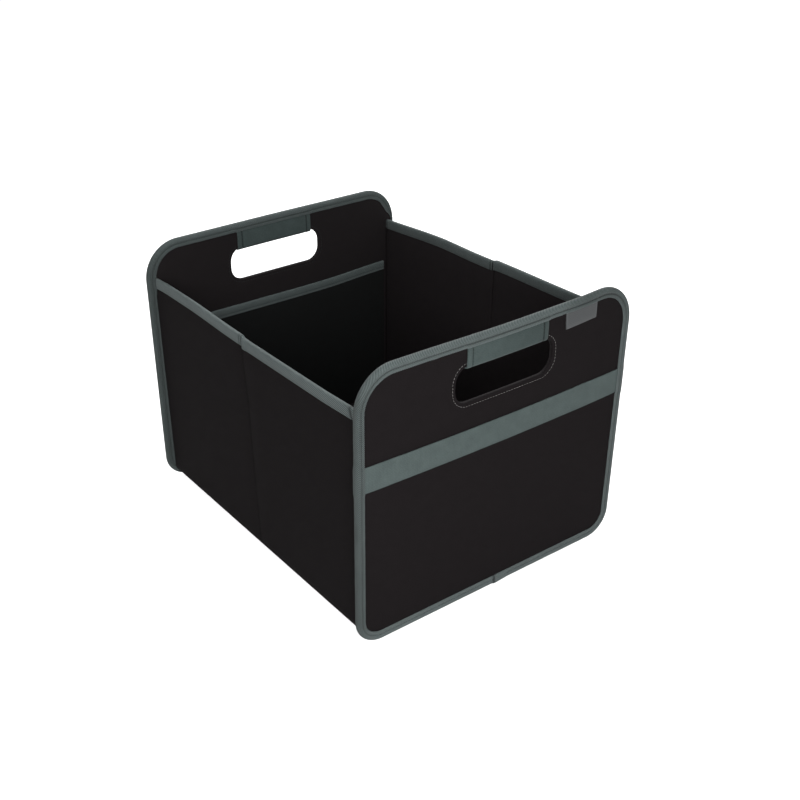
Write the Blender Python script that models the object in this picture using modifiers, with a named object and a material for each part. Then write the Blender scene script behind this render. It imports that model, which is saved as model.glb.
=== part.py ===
"""Folding storage box with two stiff end panels and two side walls that fold inwards.

Units are metres. +Z is up, the front end panel faces -Y, and the origin is at the middle of the base.
"""

import math

import bmesh
import bpy

# End panels
PANEL_WIDTH = 0.320
PANEL_HEIGHT = 0.278
BOX_DEPTH = 0.370
TOP_CORNER_RADIUS = 0.040
BOTTOM_CORNER_RADIUS = 0.028
END_BOARD_THICKNESS = 0.0028
CORNER_STEPS = 8

# Cloth, bindings and the gaps between layers
CLOTH_THICKNESS = 0.0009
BINDING_THICKNESS = 0.0009
BINDING_WIDTH = 0.0115
BINDING_ROUNDING = 0.0004
LAYER_GAP = 0.0003

# Hand slots and the wrap on each grip; each drop is measured down from the panels' top edge
SLOT_LENGTH = 0.1135
SLOT_HEIGHT = 0.036
SLOT_DROP = 0.027
SLOT_CORNER_RADIUS = 0.0145
SLOT_SHIFT = 0.0027
SLOT_FACING_THICKNESS = 0.0008
WRAP_SIDE_MARGIN = 0.0095

# Closing band and tag on the front
BAND_WIDTH = 0.025
BAND_DROP = 0.0878
TAG_WIDTH = 0.0385
TAG_HEIGHT = 0.0132
TAG_SIDE_MARGIN = 0.0495
TAG_THICKNESS = 0.0007

# Side walls
SIDE_INSET = 0.0075
SIDE_BOARD_THICKNESS = 0.0022
RIM_DROP = 0.0345
SIDE_BOTTOM_HEIGHT = 0.016
RIM_BINDING_DEPTH = 0.0125
SIDE_END_CLEARANCE = 0.0019
MID_FOLD_GAP = 0.0006
MID_AXIS_CLEARANCE = 0.0002

# Inner pocket on the back panel
POCKET_DROP = 0.089
POCKET_BINDING_DEPTH = 0.011
POCKET_SIDE_MARGIN = 0.0015

# Bottom
FLOOR_PAD_THICKNESS = 0.0025
FLOOR_INSET = 0.0050

LAYER_STEP = CLOTH_THICKNESS + LAYER_GAP
PROUD = BINDING_THICKNESS + LAYER_GAP
PANEL_THICKNESS = 2 * (PROUD + LAYER_STEP) + END_BOARD_THICKNESS
SLOT_TOP_HEIGHT = PANEL_HEIGHT - SLOT_DROP
SLOT_MIDDLE_HEIGHT = SLOT_TOP_HEIGHT - SLOT_HEIGHT / 2
BAND_TOP_HEIGHT = PANEL_HEIGHT - BAND_DROP
SIDE_OUTER_WIDTH = PANEL_WIDTH - 2 * SIDE_INSET
RIM_HEIGHT = PANEL_HEIGHT - RIM_DROP
POCKET_HEIGHT = PANEL_HEIGHT - POCKET_DROP
WALL_THICKNESS = 2 * LAYER_STEP + SIDE_BOARD_THICKNESS
RIM_THICKNESS = WALL_THICKNESS + 2 * PROUD
RIM_INNER_FACE = SIDE_OUTER_WIDTH / 2 - RIM_THICKNESS
PANEL_INNER_FACE = BOX_DEPTH / 2 - PANEL_THICKNESS + PROUD
WALL_END = PANEL_INNER_FACE - SIDE_END_CLEARANCE
CUT_PAST = 0.010
WELD_DISTANCE = 0.00001
SHARP_EDGE_DEGREES = 40


def clear_scene():
    """Removes whatever the scene already holds."""
    for thing in list(bpy.data.objects):
        bpy.data.objects.remove(thing, do_unlink=True)


def make_collection(name):
    """Returns a new collection, linked to the scene."""
    collection = bpy.data.collections.new(name)
    bpy.context.scene.collection.children.link(collection)
    return collection


def make_material(name, colour, roughness):
    """Returns a Principled material with a linear colour."""
    material = bpy.data.materials.new(name)
    material.use_nodes = True
    shader = material.node_tree.nodes["Principled BSDF"]
    shader.inputs["Base Color"].default_value = (*colour, 1.0)
    shader.inputs["Roughness"].default_value = roughness
    shader.inputs["Metallic"].default_value = 0.0
    material.diffuse_color = (*colour, 1.0)
    return material


def arc(centre_x, centre_z, radius, start_degrees, end_degrees, steps=CORNER_STEPS):
    """Returns points along an arc, both ends included."""
    angles = [
        math.radians(start_degrees + (end_degrees - start_degrees) * i / steps) for i in range(steps + 1)
    ]
    return [(centre_x + radius * math.cos(a), centre_z + radius * math.sin(a)) for a in angles]


def panel_outline(inset):
    """Returns the end panel's outline, moved in by a distance all round."""
    half = PANEL_WIDTH / 2
    top = TOP_CORNER_RADIUS
    low = BOTTOM_CORNER_RADIUS
    points = arc(half - low, low, low - inset, -90, 0)
    points += arc(half - top, PANEL_HEIGHT - top, top - inset, 0, 90)
    points += arc(top - half, PANEL_HEIGHT - top, top - inset, 90, 180)
    points += arc(low - half, low, low - inset, 180, 270)
    return points


def slot_outline(middle_x, grow):
    """Returns the hand slot's outline, grown by a distance all round."""
    half_x = SLOT_LENGTH / 2 - SLOT_CORNER_RADIUS
    half_z = SLOT_HEIGHT / 2 - SLOT_CORNER_RADIUS
    radius = SLOT_CORNER_RADIUS + grow
    points = arc(middle_x + half_x, SLOT_MIDDLE_HEIGHT - half_z, radius, -90, 0)
    points += arc(middle_x + half_x, SLOT_MIDDLE_HEIGHT + half_z, radius, 0, 90)
    points += arc(middle_x - half_x, SLOT_MIDDLE_HEIGHT + half_z, radius, 90, 180)
    points += arc(middle_x - half_x, SLOT_MIDDLE_HEIGHT - half_z, radius, 180, 270)
    return points


def plate(name, outlines, y_low, y_high, collection):
    """Makes a mesh plate between two Y values from an XZ outline, and holes from any further outlines."""
    curve = bpy.data.curves.new(name, "CURVE")
    curve.dimensions = "2D"
    curve.fill_mode = "BOTH"
    curve.extrude = (y_high - y_low) / 2
    for outline in outlines:
        spline = curve.splines.new("POLY")
        spline.points.add(len(outline) - 1)
        for point, (x, z) in zip(spline.points, outline):
            point.co = (x, z, 0.0, 1.0)
        spline.use_cyclic_u = True
    guide = bpy.data.objects.new(name + "_outline", curve)
    collection.objects.link(guide)
    guide.location = (0.0, (y_low + y_high) / 2, 0.0)
    guide.rotation_euler = (math.pi / 2, 0.0, 0.0)
    return weld_to_mesh(name, guide, collection)


def weld_to_mesh(name, guide, collection):
    """Turns a filled curve into a closed mesh object with its caps joined to its sides."""
    bpy.context.view_layer.update()
    graph = bpy.context.evaluated_depsgraph_get()
    mesh = bpy.data.meshes.new_from_object(guide.evaluated_get(graph))
    mesh.name = name
    mesh.transform(guide.matrix_world)
    bpy.data.objects.remove(guide, do_unlink=True)
    solid = bpy.data.objects.new(name, mesh)
    collection.objects.link(solid)
    weld(solid)
    return solid


def weld(solid):
    """Joins vertices that lie on each other."""
    edit = bmesh_of(solid)
    bmesh.ops.remove_doubles(edit, verts=edit.verts, dist=WELD_DISTANCE)
    bmesh.ops.recalc_face_normals(edit, faces=edit.faces)
    edit.to_mesh(solid.data)
    edit.free()


def bmesh_of(solid):
    """Returns a bmesh filled from an object's mesh."""
    edit = bmesh.new()
    edit.from_mesh(solid.data)
    return edit


def block(name, low, high, collection):
    """Makes a box between two corners."""
    edit = bmesh.new()
    bmesh.ops.create_cube(edit, size=1.0)
    size = [b - a for a, b in zip(low, high)]
    middle = [(a + b) / 2 for a, b in zip(low, high)]
    bmesh.ops.scale(edit, vec=size, verts=edit.verts)
    bmesh.ops.translate(edit, vec=middle, verts=edit.verts)
    mesh = bpy.data.meshes.new(name)
    edit.to_mesh(mesh)
    edit.free()
    solid = bpy.data.objects.new(name, mesh)
    collection.objects.link(solid)
    return solid


def combine(target, tool, operation):
    """Adds an exact Boolean of target with a tool object, which is kept as a hidden guide."""
    modifier = target.modifiers.new(operation.lower() + "_" + tool.name, "BOOLEAN")
    modifier.operation = operation
    modifier.solver = "EXACT"
    modifier.object = tool
    tool.hide_render = True
    tool.display_type = "WIRE"


def soften(target, width):
    """Rounds the square edges of a solid."""
    modifier = target.modifiers.new("soft_edges", "BEVEL")
    modifier.width = width
    modifier.segments = 2
    modifier.limit_method = "ANGLE"
    modifier.angle_limit = math.radians(SHARP_EDGE_DEGREES)


def dress(solid, material):
    """Gives a solid its one material."""
    solid.data.materials.clear()
    solid.data.materials.append(material)
    return solid


class EndPanel:
    """The layers of one end panel, from its outer face towards the inside of the box.

    sign is -1 for the front panel and +1 for the back one. The hand slot lies to the right of the middle
    as seen from outside, on both panels.
    """

    def __init__(self, name, sign, parts, cutters, materials):
        self.name = name
        self.sign = sign
        self.slot_x = -sign * SLOT_SHIFT
        self.parts = parts
        self.cutters = cutters
        self.materials = materials

    def span(self, depth_from_outside, thickness):
        """Returns the low and high Y of a layer that starts at a depth below the outer face."""
        outer = self.sign * BOX_DEPTH / 2
        near = outer - self.sign * depth_from_outside
        far = near - self.sign * thickness
        return min(near, far), max(near, far)

    def outer_cover(self):
        """Outer cloth, with a facing that is turned in through the hand slot."""
        name = self.name + "_outer_cover"
        cover = plate(name, [panel_outline(PROUD)], *self.span(PROUD, CLOTH_THICKNESS), self.parts)
        facing_depth = CLOTH_THICKNESS + LAYER_GAP + END_BOARD_THICKNESS
        facing = plate(
            name + "_facing",
            [slot_outline(self.slot_x, SLOT_FACING_THICKNESS)],
            *self.span(PROUD + CLOTH_THICKNESS / 2, facing_depth - CLOTH_THICKNESS / 2),
            self.cutters,
        )
        opening = self.slot_cutter(name + "_slot", 0.0)
        combine(cover, facing, "UNION")
        combine(cover, opening, "DIFFERENCE")
        return dress(cover, self.materials["black_cloth"])

    def slot_cutter(self, name, grow):
        """A solid in the form of the hand slot, through the whole panel."""
        low, high = self.span(-CUT_PAST, PANEL_THICKNESS + 2 * CUT_PAST)
        return plate(name, [slot_outline(self.slot_x, grow)], low, high, self.cutters)

    def board(self):
        """Stiffening board between the two covers."""
        around_facing = SLOT_FACING_THICKNESS + LAYER_GAP
        outlines = [panel_outline(PROUD), slot_outline(self.slot_x, around_facing)]
        board = plate(
            self.name + "_board", outlines, *self.span(PROUD + LAYER_STEP, END_BOARD_THICKNESS), self.parts
        )
        return dress(board, self.materials["board"])

    def inner_cover(self):
        """Inner cloth, on the side that faces the load."""
        depth = PROUD + LAYER_STEP + END_BOARD_THICKNESS + LAYER_GAP
        outlines = [panel_outline(PROUD), slot_outline(self.slot_x, 0.0)]
        cover = plate(self.name + "_inner_cover", outlines, *self.span(depth, CLOTH_THICKNESS), self.parts)
        return dress(cover, self.materials["black_lining"])

    def edge_binding(self):
        """Tape folded over the panel's edge all the way round."""
        outlines = [panel_outline(0.0), panel_outline(BINDING_WIDTH)]
        binding = plate(self.name + "_edge_binding", outlines, *self.span(0.0, PANEL_THICKNESS), self.parts)
        channel = plate(
            self.name + "_edge_binding_channel",
            [panel_outline(BINDING_THICKNESS)],
            *self.span(BINDING_THICKNESS, PANEL_THICKNESS - 2 * BINDING_THICKNESS),
            self.cutters,
        )
        soften(binding, BINDING_ROUNDING)
        combine(binding, channel, "DIFFERENCE")
        return dress(binding, self.materials["grey_binding"])

    def handle_wrap(self):
        """Tape folded round the grip from below, through the hand slot."""
        half = SLOT_LENGTH / 2 - WRAP_SIDE_MARGIN
        top = PANEL_HEIGHT - BINDING_WIDTH - LAYER_GAP
        web_top = SLOT_TOP_HEIGHT - 2 * LAYER_GAP - slot_drop_at(half)
        low, high = self.span(0.0, PANEL_THICKNESS)
        wrap = block(
            self.name + "_handle_wrap",
            (self.slot_x - half, low, web_top - BINDING_THICKNESS),
            (self.slot_x + half, high, top),
            self.parts,
        )
        cavity = block(
            self.name + "_handle_wrap_cavity",
            (self.slot_x - half - CUT_PAST, low + BINDING_THICKNESS, web_top),
            (self.slot_x + half + CUT_PAST, high - BINDING_THICKNESS, top + CUT_PAST),
            self.cutters,
        )
        combine(wrap, cavity, "DIFFERENCE")
        return dress(wrap, self.materials["grey_binding"])


def slot_drop_at(x):
    """How far the slot's top edge lies below its highest point at a distance from the middle."""
    past_straight = max(0.0, x - (SLOT_LENGTH / 2 - SLOT_CORNER_RADIUS))
    past_straight = min(past_straight, SLOT_CORNER_RADIUS)
    return SLOT_CORNER_RADIUS - math.sqrt(SLOT_CORNER_RADIUS**2 - past_straight**2)


def front_trim(panel, parts, materials):
    """Closing band and tag, which lie on the front panel's outer cover."""
    low, high = panel.span(0.0, BINDING_THICKNESS)
    half = PANEL_WIDTH / 2 - BINDING_WIDTH - LAYER_GAP
    band = block(
        "closing_band",
        (-half, low, BAND_TOP_HEIGHT - BAND_WIDTH),
        (half, high, BAND_TOP_HEIGHT),
        parts,
    )
    dress(band, materials["band_webbing"])
    top = PANEL_HEIGHT - BINDING_WIDTH - LAYER_GAP
    tag_right = PANEL_WIDTH / 2 - TAG_SIDE_MARGIN
    tag = block(
        "blank_tag",
        (tag_right - TAG_WIDTH, high - TAG_THICKNESS, top - TAG_HEIGHT),
        (tag_right, high, top),
        parts,
    )
    dress(tag, materials["tag_cloth"])


def binding_edge_height(x):
    """Height of the edge binding's inner edge along the bottom, at a distance from the middle."""
    radius = BOTTOM_CORNER_RADIUS - BINDING_WIDTH
    past_straight = max(0.0, x - (PANEL_WIDTH / 2 - BOTTOM_CORNER_RADIUS))
    past_straight = min(past_straight, radius)
    return BOTTOM_CORNER_RADIUS - math.sqrt(radius**2 - past_straight**2)


def inner_pocket(panel, parts, cutters, materials):
    """Full-width pocket on the back panel, with tape folded over its top edge."""
    pocket_high = PANEL_INNER_FACE - LAYER_GAP
    pocket_low = pocket_high - CLOTH_THICKNESS
    half = RIM_INNER_FACE - POCKET_SIDE_MARGIN
    web_low = POCKET_HEIGHT - BINDING_THICKNESS
    pocket_bottom = max(SIDE_BOTTOM_HEIGHT, binding_edge_height(half) + LAYER_GAP)
    pocket = block(
        "inner_pocket",
        (-half, pocket_low, pocket_bottom),
        (half, pocket_high, web_low - LAYER_GAP),
        parts,
    )
    dress(pocket, materials["black_cloth"])
    binding = block(
        "pocket_top_binding",
        (-half, pocket_low - PROUD, POCKET_HEIGHT - POCKET_BINDING_DEPTH),
        (half, pocket_high, POCKET_HEIGHT),
        parts,
    )
    under = block(
        "pocket_top_binding_fold",
        (-half - CUT_PAST, pocket_low - LAYER_GAP, POCKET_HEIGHT - POCKET_BINDING_DEPTH - CUT_PAST),
        (half + CUT_PAST, pocket_high + CUT_PAST, web_low),
        cutters,
    )
    combine(binding, under, "DIFFERENCE")
    dress(binding, materials["grey_binding"])
    return [pocket, binding]


def wall_half(name, side, end, parts, cutters, materials):
    """One half of a side wall: a cloth sleeve, the board in it and the tape over its top edge.

    side is -1 for the left wall and +1 for the right one.
    end is -1 for the front half and +1 for the back one.
    """
    rim_outer = SIDE_OUTER_WIDTH / 2
    outer = rim_outer - PROUD
    inner = outer - WALL_THICKNESS
    near = MID_FOLD_GAP / 2
    web_low = RIM_HEIGHT - BINDING_THICKNESS
    sleeve_top = web_low - LAYER_GAP

    def box_between(label, x_span, y_span, z_span, collection):
        xs = sorted(side * x for x in x_span)
        ys = sorted(end * y for y in y_span)
        return block(label, (xs[0], ys[0], z_span[0]), (xs[1], ys[1], z_span[1]), collection)

    sleeve = box_between(
        name + "_sleeve", (inner, outer), (near, WALL_END), (SIDE_BOTTOM_HEIGHT, sleeve_top), parts
    )
    hollow = box_between(
        name + "_sleeve_hollow",
        (inner + CLOTH_THICKNESS, outer - CLOTH_THICKNESS),
        (near + CLOTH_THICKNESS, WALL_END - CLOTH_THICKNESS),
        (SIDE_BOTTOM_HEIGHT + CLOTH_THICKNESS, sleeve_top + CUT_PAST),
        cutters,
    )
    combine(sleeve, hollow, "DIFFERENCE")
    dress(sleeve, materials["black_cloth"])
    board = box_between(
        name + "_board",
        (inner + LAYER_STEP, outer - LAYER_STEP),
        (near + LAYER_STEP, WALL_END - LAYER_STEP),
        (SIDE_BOTTOM_HEIGHT + LAYER_STEP, sleeve_top - LAYER_GAP),
        parts,
    )
    dress(board, materials["board"])
    rim = box_between(
        name + "_rim_binding",
        (inner - PROUD, rim_outer),
        (near, WALL_END),
        (RIM_HEIGHT - RIM_BINDING_DEPTH, RIM_HEIGHT),
        parts,
    )
    channel = box_between(
        name + "_rim_binding_channel",
        (inner - LAYER_GAP, outer + LAYER_GAP),
        (near - CUT_PAST, WALL_END + CUT_PAST),
        (RIM_HEIGHT - RIM_BINDING_DEPTH - CUT_PAST, web_low),
        cutters,
    )
    soften(rim, BINDING_ROUNDING)
    combine(rim, channel, "DIFFERENCE")
    dress(rim, materials["grey_binding"])
    return [sleeve, board, rim]


def bottom(parts, materials):
    """Soft bottom, sewn between the end panels and under the side walls."""
    half_x = SIDE_OUTER_WIDTH / 2 - PROUD - FLOOR_INSET
    half_y = BOX_DEPTH / 2 - PANEL_THICKNESS - LAYER_GAP
    layers = (
        ("floor_lining", CLOTH_THICKNESS, "black_lining"),
        ("floor_pad", FLOOR_PAD_THICKNESS, "pad_foam"),
        ("floor_outer_cloth", CLOTH_THICKNESS, "black_cloth"),
    )
    top = SIDE_BOTTOM_HEIGHT
    for name, thickness, slot in layers:
        top -= LAYER_GAP
        layer = block(name, (-half_x, -half_y, top - thickness), (half_x, half_y, top), parts)
        dress(layer, materials[slot])
        top -= thickness


def joint_empty(name, location, collection, parent=None):
    """An empty on a joint's axis, which carries the body that turns there."""
    empty = bpy.data.objects.new(name, None)
    empty.empty_display_size = 0.03
    empty.location = location
    collection.objects.link(empty)
    carry(empty, parent)
    return empty


def carry(child, parent):
    """Parents a child to an empty and keeps the child where it is."""
    bpy.context.view_layer.update()
    if parent is not None:
        child.parent = parent
        child.matrix_parent_inverse = parent.matrix_world.inverted()


def build():
    """Builds the whole box."""
    clear_scene()
    parts = make_collection("folding_storage_box")
    cutters = make_collection("cutters")
    materials = {
        "black_cloth": make_material("black_cloth", (0.017, 0.014, 0.014), 0.85),
        "black_lining": make_material("black_lining", (0.010, 0.009, 0.010), 0.90),
        "grey_binding": make_material("grey_binding", (0.105, 0.125, 0.122), 0.80),
        "band_webbing": make_material("band_webbing", (0.100, 0.120, 0.117), 0.80),
        "tag_cloth": make_material("tag_cloth", (0.091, 0.091, 0.102), 0.80),
        "board": make_material("board", (0.25, 0.22, 0.18), 0.90),
        "pad_foam": make_material("pad_foam", (0.30, 0.30, 0.30), 0.95),
    }

    front = EndPanel("front", -1, parts, cutters, materials)
    back = EndPanel("back", +1, parts, cutters, materials)
    for panel in (front, back):
        panel.pieces = [
            panel.outer_cover(),
            panel.board(),
            panel.inner_cover(),
            panel.edge_binding(),
            panel.handle_wrap(),
        ]
    front_trim(front, parts, materials)
    back.pieces += inner_pocket(back, parts, cutters, materials)
    bottom(parts, materials)

    halves = {}
    for side_name, side in (("left", -1), ("right", 1)):
        for end_name, end in (("front", -1), ("back", 1)):
            name = side_name + "_" + end_name
            halves[name] = wall_half(name, side, end, parts, cutters, materials)

    mid_axis_x = SIDE_OUTER_WIDTH / 2 + MID_AXIS_CLEARANCE
    left_fold = joint_empty("left_fold_axis", (-RIM_INNER_FACE, -WALL_END, 0.0), parts)
    left_mid = joint_empty("left_mid_axis", (-mid_axis_x, 0.0, 0.0), parts, left_fold)
    back_axis = joint_empty("back_end_axis", (-RIM_INNER_FACE, WALL_END, 0.0), parts, left_mid)
    right_fold = joint_empty("right_fold_axis", (RIM_INNER_FACE, -WALL_END, 0.0), parts)
    right_mid = joint_empty("right_mid_axis", (mid_axis_x, 0.0, 0.0), parts, right_fold)
    carried = {
        left_fold: halves["left_front"],
        left_mid: halves["left_back"],
        back_axis: back.pieces,
        right_fold: halves["right_front"],
        right_mid: halves["right_back"],
    }
    for axis, pieces in carried.items():
        for piece in pieces:
            carry(piece, axis)


build()
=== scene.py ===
"""Folding storage box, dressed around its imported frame.

The frame gives the bodies. Every cloth, tape, thread and board of the dressed box is made here, in metres and in the
frame's own axes: +Z up, the front end panel faces -Y, the origin is at the middle of the base.
"""

import logging
import math
from dataclasses import dataclass
from enum import Enum
from typing import Any, Callable, Sequence

import bpy
from mathutils import Matrix, Vector, noise


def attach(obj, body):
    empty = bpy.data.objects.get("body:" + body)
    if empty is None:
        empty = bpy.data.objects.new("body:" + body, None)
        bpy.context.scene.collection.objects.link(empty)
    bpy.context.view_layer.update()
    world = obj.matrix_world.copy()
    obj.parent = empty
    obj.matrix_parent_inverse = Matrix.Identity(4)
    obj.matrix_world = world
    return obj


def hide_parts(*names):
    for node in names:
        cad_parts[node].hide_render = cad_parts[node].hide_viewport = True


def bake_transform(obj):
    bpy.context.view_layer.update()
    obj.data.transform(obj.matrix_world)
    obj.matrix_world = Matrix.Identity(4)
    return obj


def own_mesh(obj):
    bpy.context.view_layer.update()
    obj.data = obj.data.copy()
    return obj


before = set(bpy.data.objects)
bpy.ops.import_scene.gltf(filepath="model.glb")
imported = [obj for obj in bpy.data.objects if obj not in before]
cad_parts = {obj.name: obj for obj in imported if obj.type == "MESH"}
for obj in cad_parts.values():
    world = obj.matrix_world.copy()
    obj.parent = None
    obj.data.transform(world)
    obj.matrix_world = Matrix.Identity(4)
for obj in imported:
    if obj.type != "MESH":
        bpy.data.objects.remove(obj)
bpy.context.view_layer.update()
LOG = logging.getLogger("storage_box")

MM = 0.001
CLOTH_UV = "cloth"
TONE = "tone"
SMOOTH_ANGLE = 38.0
# A band of Blender's wave texture repeats at this distance, over its scale
WAVE_PERIOD = 0.1 * math.pi
FIBRE_SIZE = 0.9 * MM
CLOUD_SIZE = 14.0 * MM
FLECK = 0.07
ROUGHNESS_STRAY = 0.05

Loop = list[Vector]
Point = tuple[float, float]
Tone = Callable[[int, int], float]
Socket = bpy.types.NodeSocket
Stitches = tuple[list[Vector], list[tuple[int, ...]]]


class End(Enum):
    """The two end panels, by the sign of their Y."""

    FRONT = -1
    BACK = 1


class Side(Enum):
    """The two side walls, by the sign of their X."""

    LEFT = -1
    RIGHT = 1


class Weave(Enum):
    """How a cloth's threads cross."""

    PLAIN = "plain"
    TWILL = "twill"
    RIB = "rib"
    FELTED = "felted"


# Small sums that the shapes share


def smooth_step(value: float, low: float, high: float) -> float:
    """Eases from 0 at low to 1 at high.

    Args:
        value: Where to read the curve.
        low: Where it leaves 0.
        high: Where it reaches 1.

    Returns:
        A share from 0 to 1.
    """
    share = min(1.0, max(0.0, (value - low) / (high - low)))
    return share * share * (3.0 - 2.0 * share)


def plateau(value: float, low: float, high: float, ramp: float) -> float:
    """Is 1 between low and high and eases to 0 over a ramp outside them.

    Args:
        value: Where to read the curve.
        low: Start of the flat top.
        high: End of the flat top.
        ramp: Length of the slope on each side.

    Returns:
        A share from 0 to 1.
    """
    return smooth_step(value, low - ramp, low) * (1.0 - smooth_step(value, high, high + ramp))


def dip(value: float, centre: float, reach: float) -> float:
    """Returns a bell of height 1 at its centre."""
    return math.exp(-(((value - centre) / reach) ** 2))


def wander(a: float, b: float, scale: float, seed: float) -> float:
    """A slow, even wander of cloth that isn't quite flat.

    Args:
        a: First place on the surface, in metres.
        b: Second place on the surface, in metres.
        scale: Size of a swell, in metres.
        seed: Which pattern.

    Returns:
        A value of about -1 to 1.
    """
    return noise.noise(Vector((a / scale, b / scale, seed)))


def linear(colour: str) -> tuple[float, float, float, float]:
    """Turns an sRGB hex colour to linear.

    Args:
        colour: Six hex digits after a hash.

    Returns:
        Red, green, blue and an alpha of 1.
    """
    channels = [int(colour[i : i + 2], 16) / 255.0 for i in (1, 3, 5)]
    red, green, blue = [c / 12.92 if c <= 0.04045 else ((c + 0.055) / 1.055) ** 2.4 for c in channels]
    return red, green, blue, 1.0


# Materials


def add_node(tree: bpy.types.NodeTree, kind: str, settings: dict[str, Any], links: dict[str, Any]) -> bpy.types.Node:
    """Adds one node with its settings and its links.

    Args:
        tree: The material's node tree.
        kind: The node's type name.
        settings: Values by property name, or by input name or number where the node has no such property.
        links: Output sockets by input name or number.

    Returns:
        The node.
    """
    node = tree.nodes.new(kind)
    for name, value in settings.items():
        if isinstance(name, str) and hasattr(node, name):
            setattr(node, name, value)
        else:
            node.inputs[name].default_value = value
    for name, socket in links.items():
        tree.links.new(socket, node.inputs[name])
    return node


def reckon(tree: bpy.types.NodeTree, operation: str, *terms: Any) -> Socket:
    """Adds a Math node, whose terms are sockets or numbers, and returns its result."""
    links = {i: term for i, term in enumerate(terms) if isinstance(term, Socket)}
    settings = {i: term for i, term in enumerate(terms) if i not in links}
    return add_node(tree, "ShaderNodeMath", {"operation": operation, **settings}, links).outputs[0]


def rescale(tree: bpy.types.NodeTree, value: Socket, source: Point, result: Point) -> Socket:
    """Adds a Map Range node from the source range to the result's, and returns its result."""
    limits = {"From Min": source[0], "From Max": source[1], "To Min": result[0], "To Max": result[1]}
    return add_node(tree, "ShaderNodeMapRange", limits, {"Value": value}).outputs["Result"]


@dataclass(frozen=True)
class Cloth:
    """A woven cloth or tape, with its threads at a real spacing.

    The threads of these cloths are 0.3 to 0.5 mm wide, too fine for the picture, so pitch_mm is about twice that.
    """

    name: str
    colour: str
    crown: str
    weave: Weave
    pitch_mm: float
    bump_mm: float
    roughness: float
    gloss: float
    sheen: float
    mottle: float

    def material(self) -> bpy.types.Material:
        """Makes the material, or returns it where it is already there.

        Returns:
            The material.
        """
        known = bpy.data.materials.get(self.name)
        if known:
            return known
        material = bpy.data.materials.new(self.name)
        material.use_nodes = True
        tree = material.node_tree
        shader = tree.nodes["Principled BSDF"]
        shader.inputs["IOR"].default_value = 1.5
        shader.inputs["Specular IOR Level"].default_value = self.gloss
        shader.inputs["Sheen Weight"].default_value = self.sheen
        shader.inputs["Sheen Roughness"].default_value = 0.5
        place = add_node(tree, "ShaderNodeUVMap", {"uv_map": CLOTH_UV}, {}).outputs["UV"]
        height = self.threads(tree, place)
        grains = []
        for size, detail, rough in ((FIBRE_SIZE, 2.0, 0.6), (CLOUD_SIZE, 5.0, 0.62)):
            look = {"Scale": 1.0 / size, "Detail": detail, "Roughness": rough}
            grains.append(add_node(tree, "ShaderNodeTexNoise", look, {"Vector": place}).outputs["Fac"])
        fibres, clouds = grains
        dye = {"data_type": "RGBA", 6: linear(self.colour), 7: linear(self.crown)}
        colour = add_node(tree, "ShaderNodeMix", dye, {0: height}).outputs[2]
        # The pieces' tone attribute scales the dye; most of what it holds is painted highlight and painted shade
        painted_light_tone = add_node(tree, "ShaderNodeAttribute", {"attribute_name": TONE}, {}).outputs["Fac"]
        cloudy = rescale(tree, clouds, (0.3, 0.7), (1.0 - self.mottle, 1.0 + self.mottle))
        flecked = rescale(tree, fibres, (0.25, 0.75), (1.0 - FLECK, 1.0 + FLECK))
        even = reckon(tree, "MULTIPLY", cloudy, flecked)
        shade = reckon(tree, "MULTIPLY", even, reckon(tree, "ADD", painted_light_tone, 1.0))
        dyed = add_node(tree, "ShaderNodeVectorMath", {"operation": "SCALE"}, {"Vector": colour, "Scale": shade})
        tree.links.new(dyed.outputs["Vector"], shader.inputs["Base Color"])
        stray = (self.roughness - ROUGHNESS_STRAY, self.roughness + ROUGHNESS_STRAY)
        tree.links.new(rescale(tree, clouds, (0.3, 0.7), stray), shader.inputs["Roughness"])
        relief = reckon(tree, "MULTIPLY_ADD", fibres, 0.35, height)
        bump = add_node(tree, "ShaderNodeBump", {"Strength": 0.6, "Distance": self.bump_mm * MM}, {"Height": relief})
        tree.links.new(bump.outputs["Normal"], shader.inputs["Normal"])
        return material

    def threads(self, tree: bpy.types.NodeTree, place: Socket) -> Socket:
        """Adds the weave's relief.

        Args:
            tree: The material's node tree.
            place: The cloth's UV, in metres.

        Returns:
            A height from 0 to 1.
        """
        across = WAVE_PERIOD / (self.pitch_mm * MM)
        waves = {
            Weave.PLAIN: (("X", across, 0.3), ("Y", across, 0.3)),
            Weave.TWILL: (("DIAGONAL", 2.0 * across, 0.5), ("DIAGONAL", 2.0 * across, 0.5)),
            Weave.RIB: (("X", across, 0.3), ("Y", 0.5 * across, 0.8)),
            Weave.FELTED: (("X", across, 3.0), ("Y", across, 3.0)),
        }[self.weave]
        heights = []
        for way, scale, stray in waves:
            look = {"wave_type": "BANDS", "bands_direction": way, "Scale": scale, "Distortion": stray}
            look.update({"Detail": 1.0, "Detail Scale": 1.5})
            heights.append(add_node(tree, "ShaderNodeTexWave", look, {"Vector": place}).outputs["Fac"])
        return reckon(tree, "MULTIPLY", *heights)


# Each cloth's numbers: thread pitch and relief in mm, roughness, gloss, sheen and how mottled it is

# Polyester oxford cloth: a matt, faintly grainy black with a soft lift at the threads' crowns
BLACK_OXFORD = Cloth("black_oxford_cloth", "#1c191a", "#252223", Weave.PLAIN, 1.1, 0.16, 0.85, 0.02, 0.01, 0.06)
# Dull polyester lining: a flatter and finer plain weave
BLACK_LINING = Cloth("black_lining_cloth", "#201d1e", "#2b2728", Weave.PLAIN, 0.9, 0.12, 0.88, 0.06, 0.02, 0.06)
# The pocket's cloth has a tighter, duller weave and is nearly jet
POCKET_CLOTH = Cloth("black_pocket_cloth", "#1a1b1b", "#232424", Weave.PLAIN, 0.9, 0.10, 0.9, 0.04, 0.02, 0.06)
# Woven twill binding tape: slanting ribs, really about 1 mm apart and drawn coarser, so that the picture holds them
GREY_TWILL = Cloth("grey_twill_binding", "#404949", "#798281", Weave.TWILL, 1.8, 0.45, 0.8, 0.12, 0.08, 0.08)
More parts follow.
